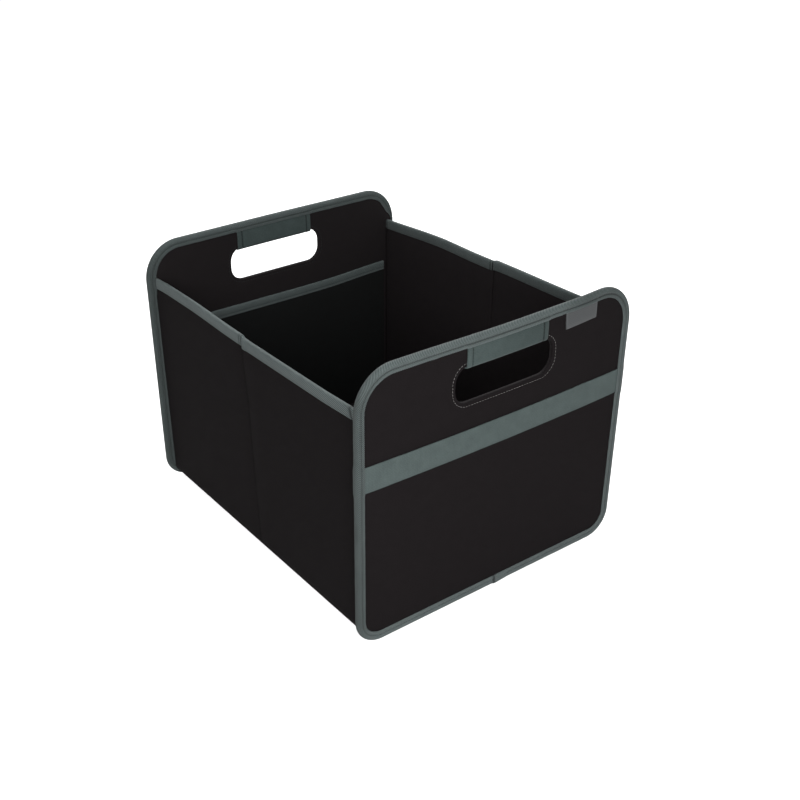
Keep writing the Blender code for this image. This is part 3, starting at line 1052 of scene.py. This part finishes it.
@dataclass
class FrontTrim:
    """The closing band and the bare tag on the front panel."""

    panel: EndPanel
    band_low: float = 165.2 * MM
    band_high: float = 190.2 * MM
    band_half: float = 152.5 * MM
    band_sag: float = 2.0 * MM
    band_flat: float = 25.0 * MM
    tag_left: float = 71.9 * MM
    tag_right: float = 110.5 * MM
    tag_low: float = 253.4 * MM
    tag_flat: float = 17.0 * MM
    tag_curl: float = 1.1 * MM

    def band(self) -> None:
        """Flat band across the front, sewn in under the edge tape at both ends and a little slack between."""
        half, edge, rows, cuts = self.band_half, 0.28 * MM, 9, 120
        xs = [-half + 2.0 * half * i / cuts for i in range(cuts + 1)]
        loops: list[Loop] = []
        for x in xs:
            share = 1.0 - (x / half) ** 2
            low = self.band_low - self.band_sag * share + 0.25 * MM * wander(x, 0.0, 40.0 * MM, 2.0)
            high = self.band_high - self.band_sag * share + 0.25 * MM * wander(x, 1.0, 40.0 * MM, 4.0)
            tuck = min(smooth_step(x, -half, -145.0 * MM), 1.0 - smooth_step(x, 142.5 * MM, 150.0 * MM))
            base = 2.72 * MM + 0.14 * MM * tuck
            top = base + (0.45 + 0.40 * tuck) * MM
            bow = 0.35 * MM * share * tuck
            section = [(low + 0.05 * MM, base + bow), (low, (base + top) / 2.0 + bow)]
            for r in range(rows + 1):
                z = low + edge + (high - low - 2.0 * edge) * r / rows
                wave = 0.07 * MM * wander(x, z, 14.0 * MM, 8.0)
                section.append((z, top + bow + wave * tuck))
            section += [(high, (base + top) / 2.0 + bow), (high - 0.05 * MM, base + bow)]
            loops.append([self.panel.place(x, z, d) for z, d in section])
        band = strip("front_closing_band", xs, loops, GREY_BAND)
        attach(band, self.panel.body)
        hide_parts("closing_band")

    def tag(self) -> None:
        """A bare satin tag, folded double, with its raw ends sewn in under the top tape."""
        count = 16
        width = self.tag_right - self.tag_left
        xs = [self.tag_left + width * i / count for i in range(count + 1)]
        rows = ((270.5, 0.0), (268.0, 0.05), (264.0, 0.3), (260.0, 0.6), (257.0, 0.85))
        loops: list[Loop] = []
        for index, x in enumerate(xs):
            share = index / count
            curl = self.tag_curl * (1.0 - share) ** 3
            low = self.tag_low - 0.6 * MM * (1.0 - share) + 0.5 * MM * dip(share, 0.0, 0.05)
            outer = [(z * MM, (3.42 + 0.25 * k) * MM + curl * k) for z, k in rows]
            fold = [(low + 0.9 * MM, 3.60 * MM + curl), (low + 0.25 * MM, 3.42 * MM + curl), (low, 3.12 * MM + curl)]
            fold += [(low + 0.25 * MM, 2.86 * MM + curl * 0.9), (low + 0.9 * MM, 2.76 * MM + curl * 0.8)]
            under = [(z * MM, 2.74 * MM + 0.7 * curl * k) for z, k in reversed(rows)]
            loops.append([self.panel.place(x, z, d) for z, d in outer + fold + under])

        def tone(i: int, j: int) -> float:
            # Painted highlight along the tag's folded lower edge and at its two ends
            return 0.35 * max(dip(i, 0.0, 0.6), dip(i, count, 0.6), dip(j, 6.0, 1.2))

        tag = strip("front_bare_tag", xs, loops, GREY_TAG, tone)
        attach(tag, self.panel.body)
        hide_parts("blank_tag")

    def build(self) -> None:
        """Makes the band and the tag."""
        self.band()
        self.tag()
        LOG.info("band and tag are on the front panel")


@dataclass
class BackPocket:
    """The flat pocket inside the back panel, with tape bound over its top edge."""

    panel: EndPanel
    half: float = 143.9 * MM
    bottom: float = 19.0 * MM
    top: float = 188.3 * MM
    tape_drop: float = 10.8 * MM
    tape_middle: float = 3.24 * MM
    slack: float = 0.3 * MM
    cloth_flat: float = 170.0 * MM
    tape_flat: float = 23.0 * MM
    cuts: int = 72

    def top_edge(self, x: float) -> float:
        """Height of the pocket's top edge, which rises towards the right."""
        return self.top + 2.6 * MM * smooth_step(x, 60.0 * MM, self.half) - 0.6 * MM * dip(x, 20.0 * MM, 70.0 * MM)

    def bow(self, x: float, z: float) -> float:
        """How far the cloth hangs away from the panel."""
        return self.slack * max(0.0, 1.0 - (x / self.half) ** 2) * smooth_step(z, self.bottom, self.top)

    def stations(self) -> list[float]:
        """Places across the pocket."""
        return [-self.half + 2.0 * self.half * i / self.cuts for i in range(self.cuts + 1)]

    def cloth(self) -> None:
        """The pocket's one layer of cloth."""
        xs, rows = self.stations(), 30
        loops: list[Loop] = []
        for x in xs:
            high = self.top_edge(x) - 1.5 * MM
            zs = [self.bottom + (high - self.bottom) * r / rows for r in range(rows + 1)]
            free = 0.25 * MM * (1.0 - (x / self.half) ** 8)
            slack = [self.bow(x, z) + free * wander(x, z, 45.0 * MM, 21.0) for z in zs]
            front = [(z, -(3.62 * MM + max(0.0, s))) for z, s in zip(zs, slack)]
            back = [(z, -(2.86 * MM + max(0.0, s))) for z, s in zip(zs, slack)]
            loops.append([self.panel.place(x, z, d) for z, d in front + back[::-1]])

        def uv(i: int, j: int) -> Point:
            return xs[i], loops[i][j % len(loops[i])].z

        pocket = loft("inner_pocket_cloth", loops, uv, POCKET_CLOTH)
        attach(pocket, self.panel.body)
        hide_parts("inner_pocket")

    def tape(self) -> None:
        """Twill tape folded over the pocket's top edge, and its stitches."""
        xs = self.stations()
        loops: list[Loop] = []
        path = []
        rows = ((0.0, 0.55), (0.35, 0.95), (2.2, 1.02), (3.2, 0.72), (4.2, 1.02), (7.5, 1.06), (9.3, 0.95), (10.3, 0.5))
        for x in xs:
            high = self.top_edge(x)
            low, middle = high - self.tape_drop, self.tape_middle + max(0.0, self.bow(x, high))
            section = [(low + h * MM, middle + t * MM) for h, t in rows] + [(high, middle)]
            section += [(low + h * MM, middle - 0.60 * MM) for h in (10.2, 5.0, 0.1)]
            section += [(low + h * MM, middle - 0.46 * MM) for h in (0.1, 5.0, 9.0)]
            section += [(low + h * MM, middle + 0.44 * MM) for h in (9.0, 5.0, 0.1)]
            loops.append([self.panel.place(x, z, -d) for z, d in section])
            path.append((self.panel.place(x, low + 3.2 * MM, -(middle + 0.72 * MM)), self.panel.facing(-1)))

        def tone(i: int, j: int) -> float:
            # Painted highlight on the tape's top fold and painted shade in its stitched groove
            return 0.15 * dip(j, 8.0, 1.2) - 0.35 * dip(j, 3.0, 0.8)

        tape = strip("inner_pocket_tape", xs, loops, GREY_TWILL, tone)
        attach(tape, self.panel.body)
        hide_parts("pocket_top_binding")
        Seam(GREY_THREAD).sew("inner_pocket_seam", path, self.panel.body)

    def build(self) -> None:
        """Makes the pocket and its tape."""
        self.cloth()
        self.tape()
        LOG.info("pocket is on the back panel")


# The rim tape's end in a corner, from its outer edge to its crown: distance from the wall's middle and drop, in mm
RIM_END = ((1.8, 9.6), (2.1, 9.3), (2.1, 1.6), (1.7, 0.8), (1.0, 0.3), (0.0, 0.1))


@dataclass
class SideWall:
    """One side wall: cloth over two boards, with a fold between them and tape over the rim.

    q is the distance from the wall's middle plane, positive towards the outside of the box.
    """

    name: str
    side: Side
    middle: float = 149.0 * MM
    half_cloth: float = 2.3 * MM
    half_head: float = 1.55 * MM
    half_rim: float = 2.25 * MM
    rim_depth: float = 10.4 * MM
    bottom: float = 16.0 * MM
    end: float = 176.7 * MM
    fold_reach: float = 9.0 * MM
    corner_half: float = 1.75 * MM
    corner_outer: float = 177.3 * MM
    corner_inner: float = 178.45 * MM
    corner_start: float = 173.0 * MM
    hinge_height: float = 0.13
    hem_radius: float = 1.9 * MM
    cloth_flat: float = 228.0 * MM
    tape_flat: float = 29.0 * MM

    def place(self, q: float, y: float, z: float) -> Vector:
        """Puts a point of the wall in the box."""
        return Vector((self.side.value * (self.middle + q), y, z))

    @property
    def rim_fold(self) -> float:
        """Where the tape on the rim folds."""
        return 4.6 * MM if self.side is Side.LEFT else -7.0 * MM

    def rim(self, y: float) -> float:
        """Height of the rim, which steps at the fold and dips where its ends are sewn in."""
        if self.side is Side.LEFT:
            front = 238.0 * MM + 1.4 * MM * (1.0 - smooth_step(y, -178.0 * MM, -120.0 * MM))
            back = 240.2 * MM + 2.6 * MM * smooth_step(y, 10.0 * MM, 110.0 * MM)
            back -= 1.0 * MM * smooth_step(y, 150.0 * MM, 178.0 * MM)
            share = smooth_step(y, self.rim_fold - 1.0 * MM, self.rim_fold + 0.4 * MM)
        else:
            front = 246.0 * MM + 0.6 * MM * smooth_step(y, -110.0 * MM, -30.0 * MM)
            back = 244.6 * MM + 1.0 * MM * smooth_step(y, 20.0 * MM, 80.0 * MM)
            back -= 5.1 * MM * smooth_step(y, 70.0 * MM, 200.0 * MM)
            share = smooth_step(y, self.rim_fold - 4.0 * MM, self.rim_fold + 4.0 * MM)
        return front + (back - front) * share

    def crease(self, z: float) -> float:
        """Where the fold's line runs at a height."""
        if self.side is Side.RIGHT:
            return self.rim_fold
        low = -6.0 * MM + 6.0 * MM * (z - 16.0 * MM) / (150.0 * MM)
        return low + 3.0 * MM * smooth_step(z, 166.0 * MM, 230.0 * MM) if z > 166.0 * MM else low

    def spots(self) -> list[float]:
        """Places along the wall, closer together at the fold and the ends."""
        fine = [i * 0.5 * MM for i in range(-25, 26)]
        coarse = [12.5 * MM + (160.0 * MM - 12.5 * MM) * i / 30 for i in range(1, 31)]
        ends = [(160.0 + 0.9 * i) * MM for i in range(1, 17)] + [175.3 * MM, 176.1 * MM, self.end]
        return [-y for y in reversed(coarse + ends)] + fine + coarse + ends

    def cloth_skin(self, y: float, z: float, outer: bool) -> float:
        """How far a face of the wall lies from the middle plane."""
        seed = 31.0 + self.side.value + (5.0 if outer else 0.0)
        from_end = self.end - abs(y)
        rounded = 0.9 * MM * (1.0 - smooth_step(from_end, -0.5 * MM, 3.0 * MM))
        share = min(1.0, abs(abs(y) - 90.0 * MM) / (90.0 * MM))
        height = min(1.0, abs(z - 125.0 * MM) / (118.0 * MM))
        dome = (0.35 if outer else 0.10) * MM * (1.0 - share**2) * (1.0 - height**2)
        swell = 0.22 * MM * wander(y, z, 70.0 * MM, seed) + 0.06 * MM * wander(y, z, 20.0 * MM, seed + 2.0)
        line = self.crease(z)
        if outer:
            fold = 0.20 * MM * dip(y, line, 2.5 * MM) + 0.50 * MM * dip(y, line, 9.0 * MM)
        else:
            sharp = 1.35 * MM * smooth_step(z, 150.0 * MM, 205.0 * MM)
            fold = sharp * dip(y, line, 1.0 * MM) + 0.50 * MM * dip(y, line, 4.0 * MM)
            fold += 0.50 * MM * dip(y, 0.0, 8.0 * MM)
        drawn_in = (self.half_cloth - self.half_head) * smooth_step(z, self.rim(y) - 20.0 * MM, self.rim(y) - 9.0 * MM)
        return self.half_cloth + dome + swell - fold - rounded - drawn_in

    def cloth(self) -> None:
        """The wall's cloth, one sleeve from corner to corner, creased at the fold."""
        spots, rows = self.spots(), 40
        low, radius = self.bottom, self.hem_radius
        loops: list[Loop] = []
        for y in spots:
            top = self.rim(y) - 1.2 * MM
            zs = [top - (top - low - radius) * r / rows for r in range(rows + 1)]
            outer = [(self.cloth_skin(y, z, True), z) for z in zs]
            inner = [(-self.cloth_skin(y, z, False), z) for z in reversed(zs)]
            turns = [math.radians(t) for t in (20.0, 45.0, 70.0)]
            hem = [(radius * (1.0 - math.cos(a)), zs[-1] - radius * math.sin(a)) for a in turns]
            section = outer + [(outer[-1][0] - q, z) for q, z in hem] + [(0.0, low)]
            section += [(inner[0][0] + q, z) for q, z in reversed(hem)] + inner
            loops.append([self.place(q, y, z) for q, z in section])
        count = len(loops[0])

        def uv(i: int, j: int) -> Point:
            point = loops[i][j % count]
            return point.y, point.z

        def tone(i: int, j: int) -> float:
            # Painted shade darkens the outer face, more in the fold's crease; painted light makes the inner face paler,
            # except in its sharp upper crease, which gets painted shade
            if j <= rows:
                return -0.27 - 0.22 * dip(spots[i], self.crease(loops[i][j].z), 2.0 * MM)
            sharp = 0.70 * smooth_step(loops[i][j].z, 150.0 * MM, 205.0 * MM)
            return 0.50 - sharp * dip(spots[i], self.crease(loops[i][j].z), 0.9 * MM)

        cloth = loft(self.name + "_wall_cloth", loops, uv, BLACK_OXFORD, tone=tone)
        self.bend_at_fold(cloth)
        front, back = self.name + "_front_", self.name + "_back_"
        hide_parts(front + "sleeve", back + "sleeve", front + "board", back + "board")

    def rim_tape(self) -> None:
        """Twill tape folded over the rim, which puckers where the wall folds."""
        spots = self.spots()
        loops: list[Loop] = []
        full, depth, under = self.half_rim, self.rim_depth, self.half_head + 0.12 * MM
        legs = (
            (depth, full - 0.35 * MM),
            (depth - 0.3 * MM, full),
            (depth - 1.3 * MM, full + 0.05 * MM),
            (depth - 2.1 * MM, full - 0.22 * MM),
            (depth - 2.9 * MM, full),
            (0.45 * depth, full + 0.05 * MM),
            (0.25 * depth, full),
            (1.6 * MM, full - 0.12 * MM),
        )
        for y in spots:
            top, add = self.rim(y), self.pucker(y)
            spread = max(0.0, add) * 0.5
            arch = [(q + add, top - h) for h, q in legs] + [(full - 0.45 * MM + add * 0.6, top - 0.75 * MM)]
            arch += [(full - 1.15 * MM, top - 0.2 * MM), (0.0, top)]
            back = [(-q, z) for q, z in reversed(arch[:-1])]
            inside = [(-under - spread, top - depth + 0.1 * MM), (-under, top - 1.3 * MM)]
            inside += [(under, top - 1.3 * MM), (under + spread, top - depth + 0.1 * MM)]
            loops.append([self.place(q, y, z) for q, z in arch + back + inside])
        across = runs([(p.x, p.z) for p in loops[10]], closed=True)

        def tone(i: int, j: int) -> float:
            return self.rim_tone(spots[i], j)

        tape = loft(self.name + "_rim_tape", loops, lambda i, j: (spots[i], across[j]), GREY_TWILL, tone=tone)
        self.bend_at_fold(tape)
        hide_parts(self.name + "_front_rim_binding", self.name + "_back_rim_binding")

    def rim_tone(self, y: float, j: int) -> float:
        """How the rim tape's tone changes: painted highlights on the crown, by the fold and on the left rim's back
        half, and painted shade in the stitch lines, the fold's creases, the sewn-in ends and the right rim's inner leg.

        Args:
            y: Place along the wall.
            j: Which point of the section.

        Returns:
            A share to add to the colour.
        """
        # Painted shade in the creases at the fold, and in one near the left rim's front end
        crease = max(dip(y, self.rim_fold + 0.9 * MM, 0.6 * MM), 0.7 * dip(y, self.rim_fold + 4.6 * MM, 0.6 * MM))
        if self.side is Side.LEFT:
            crease = max(crease, 0.85 * dip(y, (-170.5 + 0.7 * min(j, 7)) * MM, 1.8 * MM))
        # Painted highlights on the crown, on the ridge just before the fold and along the left rim's back half
        painted_light_tone = 0.34 * dip(j, 9.5, 1.8) + 0.34 * dip(y, self.rim_fold - 0.9 * MM, 0.7 * MM)
        painted_light_tone += 0.12 * smooth_step(y, 6.0 * MM, 20.0 * MM) if self.side is Side.LEFT else 0.0
        # Painted shadow where the tape's ends are sewn in at the corners
        end_shadow = 0.6 * (1.0 - smooth_step(self.end - abs(y), 1.4 * MM, 3.4 * MM))
        # Painted shadow on the right rim's inner leg, cast by the front panel
        inner = 0.30 * smooth_step(j, 11.0, 16.0) if self.side is Side.RIGHT else 0.0
        # Painted shade in the two stitch lines
        return painted_light_tone - 0.15 * max(dip(j, 3.0, 0.9), dip(j, 18.0, 0.9)) - 0.8 * crease - end_shadow - inner

    def pucker(self, y: float) -> float:
        """How far the rim's tape stands off where the fold bunches it, or is pinched in."""
        at = self.rim_fold
        bunch = 0.60 * MM * plateau(y, at - 6.0 * MM, at - 1.2 * MM, 1.2 * MM)
        pinch = 0.85 * MM * dip(y, at + 0.5 * MM, 0.7 * MM) + 0.45 * MM * dip(y, at + 4.2 * MM, 0.8 * MM)
        if self.side is Side.LEFT:
            pinch += 0.35 * MM * dip(y, -168.5 * MM, 1.5 * MM)
        end_in = 0.30 * MM * (1.0 - smooth_step(self.end - abs(y), -0.5 * MM, 2.5 * MM))
        return bunch - pinch - end_in + 0.10 * MM * wander(y, 0.0, 12.0 * MM, 17.0 + self.side.value)

    def bend_at_fold(self, piece: bpy.types.Object) -> None:
        """Bakes the piece's placement into its mesh."""
        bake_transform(piece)

    def corner(self, end: End, body: str) -> None:
        """The cloth and tape that join the wall's end to an end panel.

        Args:
            end: Which end of the wall.
            body: The end panel's body; not used.
        """
        wall = f"{self.name}_{end.name.lower()}"
        heights = [self.bottom + 1.0 * MM + (self.rim(0.0) - 15.0 * MM - self.bottom) * i / 30 for i in range(31)]
        shares = (0.0, 0.25, 0.5, 0.75, 1.0)
        section = [(self.corner_half, self.corner_outer - s * (self.corner_outer - self.corner_start)) for s in shares]
        section += [
            (-self.corner_half, self.corner_inner - s * (self.corner_inner - self.corner_start))
            for s in reversed(shares)
        ]
        loops = [[self.place(q, end.value * y, z) for q, y in section] for z in heights]

        def uv(i: int, j: int) -> Point:
            point = loops[i][j % len(loops[i])]
            return point.y, point.z

        hinge = loft(wall + "_corner_cloth", loops, uv, BLACK_OXFORD)
        top = self.rim(end.value * self.end)
        arch = RIM_END + tuple((-q, h) for q, h in reversed(RIM_END[:-1]))
        arch += ((-1.5, 9.6), (-1.5, 1.5), (1.5, 1.5), (1.5, 9.6))
        ys = [self.corner_outer - s * 2.0 * MM for s in (0.0, 0.2, 0.4, 0.6, 0.8, 1.0)]
        ends = [[self.place(q * MM, end.value * y, top - h * MM) for q, h in arch] for y in ys]
        across = runs([(p.x, p.z) for p in ends[0]], closed=True)
        # The rim tape's end is painted darker all over, as shade where it meets the end panel
        tape = loft(wall + "_rim_end", ends, lambda i, j: (ys[i], across[j]), GREY_TWILL, tone=lambda i, j: -0.6)
        for piece in (hinge, tape):
            # The right back corner is where the ring of hinges is opened, so its pieces ride on the wall's body;
            # the other corners' pieces are baked in place
            if end is End.BACK and self.side is Side.RIGHT:
                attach(piece, wall)
                continue
            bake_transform(piece)

    def build(self) -> None:
        """Makes the wall and its two corners."""
        self.cloth()
        self.rim_tape()
        self.corner(End.FRONT, "front_end")
        self.corner(End.BACK, "back_end")
        LOG.info("%s wall is dressed", self.name)


@dataclass
class Bottom:
    """The soft bottom: lining, thin foam and outer cloth, sewn in under the walls."""

    half_x: float = 146.3 * MM
    half_y: float = 177.1 * MM
    lining_reach: float = 4.0 * MM
    foam_inset: float = 10.0 * MM
    top: float = 15.7 * MM
    lining: float = 0.9 * MM
    foam: float = 2.5 * MM
    gap: float = 0.3 * MM
    wave: float = 0.12 * MM
    folded_share: float = 0.169

    def layer(
        self, name: str, high: float, thickness: float, finish: Cloth, size: Point, turned_up: float
    ) -> bpy.types.Object:
        """One layer, from a box that is cut up, rounded and gently waved.

        Args:
            name: The piece's name.
            high: Height of its top.
            thickness: How thick it is.
            finish: What it is made of.
            size: Half its width and half its depth.
            turned_up: How far its edges rise, to be sewn to the layer above.

        Returns:
            The layer.
        """
        rest_all()
        bpy.ops.mesh.primitive_cube_add(size=1.0, location=(0.0, 0.0, high - thickness / 2.0))
        layer = bpy.context.object
        layer.name = name
        layer.data.name = name
        layer.scale = (2.0 * size[0], 2.0 * size[1], thickness)
        bpy.ops.object.transform_apply(location=True, rotation=True, scale=True)
        bevel = layer.modifiers.new("rounded_edges", "BEVEL")
        bevel.width = 0.35 * thickness
        bevel.segments = 2
        bpy.ops.object.modifier_apply(modifier=bevel.name)
        bpy.ops.object.mode_set(mode="EDIT")
        bpy.ops.mesh.select_mode(type="FACE")
        bpy.ops.mesh.select_all(action="SELECT")
        bpy.ops.mesh.subdivide(number_cuts=34)
        bpy.ops.object.mode_set(mode="OBJECT")
        for vertex in layer.data.vertices:
            x, y = vertex.co.x, vertex.co.y
            inside = smooth_step(size[0] - abs(x), 0.0, 12.0 * MM) * smooth_step(size[1] - abs(y), 0.0, 12.0 * MM)
            wave = wander(x, y, 60.0 * MM, 51.0) + 0.3 * wander(x, y, 18.0 * MM, 52.0)
            vertex.co.z += self.wave * inside * wave + turned_up * (1.0 - smooth_step(size[0] - abs(x), 0.0, 8.0 * MM))
        layer.data.uv_layers.remove(layer.data.uv_layers[0])
        marks = layer.data.uv_layers.new(name=CLOTH_UV)
        for corner, datum in zip(layer.data.loops, marks.data):
            spot = layer.data.vertices[corner.vertex_index].co
            datum.uv = (spot.x, spot.y + spot.z)
        layer.data.materials.append(finish.material())
        soften_look(layer)
        layer.select_set(False)
        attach(layer, "front_end")
        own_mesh(layer)
        return layer

    def build(self) -> None:
        """Makes the three layers."""
        reached = self.half_x + self.lining_reach
        wide, outer = (reached, self.half_y + 1.0 * MM), (reached, self.half_y)
        narrow = (self.half_x - self.foam_inset, self.half_y - self.foam_inset)
        closed = self.foam + 2.0 * self.gap - 0.15 * MM
        high = self.top
        for name, node, thickness, finish, slot, size, turned_up in (
            ("bottom_lining", "floor_lining", self.lining, BLACK_LINING, "black_lining", wide, 0.0),
            ("bottom_foam", "floor_pad", self.foam, PAD_FOAM, "pad_foam", narrow, 0.0),
            ("bottom_cloth", "floor_outer_cloth", self.lining, BLACK_OXFORD, "black_cloth", outer, closed),
        ):
            layer = self.layer(name, high, thickness, finish, size, turned_up)
            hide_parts(node)
            high -= thickness + self.gap
        LOG.info("bottom is laid")


@dataclass
class Studio:
    """The white floor and backdrop, the soft lamps and the camera of the picture."""

    azimuth: float = -34.87
    elevation: float = 30.61
    roll: float = 1.23
    place: tuple[float, float, float] = (-0.5986, -0.8024, 0.6617)
    focal_px: float = 1097.9
    centre_px: Point = (346.3, 448.1)
    frame_px: float = 800.0
    sensor_mm: float = 36.0
    near: float = 0.02
    far: float = 30.0
    floor_side: float = 9.0
    floor_drop: float = 0.15 * MM
    surround: float = 0.22
    paper_glow: float = 0.86

    def camera(self) -> None:
        """Sets up the camera as a fit to the picture's edges gives it."""
        a, e, c = (math.radians(v) for v in (self.azimuth, self.elevation, self.roll))
        level = Vector((math.cos(a), math.sin(a), 0.0))
        forward = Vector((-math.sin(a) * math.cos(e), math.cos(a) * math.cos(e), -math.sin(e)))
        down = forward.cross(level)
        right = level * math.cos(c) + down * math.sin(c)
        up = level * math.sin(c) - down * math.cos(c)
        data = bpy.data.cameras.new("picture_camera")
        camera = bpy.data.objects.new("picture_camera", data)
        bpy.context.scene.collection.objects.link(camera)
        turn = Matrix((right, up, -forward)).transposed().to_4x4()
        camera.matrix_world = Matrix.Translation(Vector(self.place)) @ turn
        data.sensor_width = self.sensor_mm
        data.lens = self.focal_px / self.frame_px * self.sensor_mm
        data.shift_x = (self.frame_px / 2.0 - self.centre_px[0]) / self.frame_px
        data.shift_y = (self.centre_px[1] - self.frame_px / 2.0) / self.frame_px
        data.clip_start = self.near
        data.clip_end = self.far
        bpy.context.scene.camera = camera

    def lamp(self, name: str, place: Sequence[float], target: Sequence[float], size: float, power: float) -> None:
        """Adds a square soft lamp.

        Args:
            name: Its name.
            place: Where it hangs.
            target: What it looks at.
            size: Its side.
            power: Its power in watts.
        """
        data = bpy.data.lights.new(name, "AREA")
        data.shape = "SQUARE"
        data.size = size
        data.energy = power
        lamp = bpy.data.objects.new(name, data)
        bpy.context.scene.collection.objects.link(lamp)
        lamp.location = place
        lamp.rotation_euler = (Vector(target) - Vector(place)).to_track_quat("-Z", "Y").to_euler()

    def seen_white(self, tree: bpy.types.NodeTree) -> Socket:
        """Is 1 for the rays that should find the white background.

        Args:
            tree: The node tree of the world or the floor.

        Returns:
            1 for camera, glossy and transmission rays, 0 for the rest.
        """
        rays = add_node(tree, "ShaderNodeLightPath", {}, {})
        mirrored = reckon(tree, "MAXIMUM", rays.outputs["Is Glossy Ray"], rays.outputs["Is Transmission Ray"])
        return reckon(tree, "MAXIMUM", rays.outputs["Is Camera Ray"], mirrored)

    def world(self) -> None:
        """A pale surround that the camera sees as white."""
        world = bpy.data.worlds.new("studio")
        bpy.context.scene.world = world
        world.use_nodes = True
        tree = world.node_tree
        tree.nodes.clear()
        strength = rescale(tree, self.seen_white(tree), (0.0, 1.0), (self.surround, 1.0))
        glow = add_node(tree, "ShaderNodeBackground", {"Color": (1.0, 1.0, 1.0, 1.0)}, {"Strength": strength})
        add_node(tree, "ShaderNodeOutputWorld", {}, {"Surface": glow.outputs["Background"]})

    def floor(self) -> None:
        """A wide white floor that keeps a faint shadow."""
        rest_all()
        bpy.ops.mesh.primitive_plane_add(size=self.floor_side, location=(0.0, 0.0, -self.floor_drop))
        floor = bpy.context.object
        floor.name = "studio_floor"
        floor.select_set(False)
        material = bpy.data.materials.new("white_studio_paper")
        material.use_nodes = True
        tree = material.node_tree
        tree.nodes.clear()
        paper = add_node(tree, "ShaderNodeBsdfDiffuse", {"Color": linear("#e6e6e6")}, {})
        glow = add_node(tree, "ShaderNodeEmission", {"Color": (1.0, 1.0, 1.0, 1.0), "Strength": self.paper_glow}, {})
        both = add_node(tree, "ShaderNodeAddShader", {}, {0: paper.outputs["BSDF"], 1: glow.outputs["Emission"]})
        layers = {0: self.seen_white(tree), 1: paper.outputs["BSDF"], 2: both.outputs["Shader"]}
        mix = add_node(tree, "ShaderNodeMixShader", {}, layers)
        add_node(tree, "ShaderNodeOutputMaterial", {}, {"Surface": mix.outputs["Shader"]})
        floor.data.materials.append(material)

    def build(self) -> None:
        """Sets up everything round the box."""
        bpy.context.scene.view_settings.view_transform = "Standard"
        self.camera()
        self.world()
        self.floor()
        for name, place, target, size, power in (
            ("key_lamp", (-0.49, -0.88, 0.60), (-0.02, -0.15, 0.16), 0.5, 7.5),
            ("side_lamp", (-1.5, 0.0, 0.9), (0.0, 0.0, 0.15), 1.0, 2.6),
            ("top_lamp", (0.0, -0.1, 1.9), (0.0, 0.0, 0.0), 1.4, 2.6),
            ("back_lamp", (1.1, 1.3, 1.0), (0.0, 0.0, 0.14), 1.0, 30.0),
        ):
            self.lamp(name, place, target, size, power)
        LOG.info("studio is set up")


def main() -> None:
    """Dresses the box and sets up its picture."""
    logging.basicConfig(level=logging.INFO, format="%(name)s: %(message)s")
    Studio().build()
    front = EndPanel("front", End.FRONT, "front_end", corner_lift=1.5 * MM)
    back = EndPanel("back", End.BACK, "back_end", half_width=159.1 * MM, high=278.0 * MM, sag=-0.4 * MM, tilt=0.006)
    for panel in (front, back):
        panel.build()
    FrontTrim(front).build()
    BackPocket(back).build()
    SideWall("left", Side.LEFT).build()
    SideWall("right", Side.RIGHT).build()
    Bottom().build()


if __name__ == "__main__":
    main()
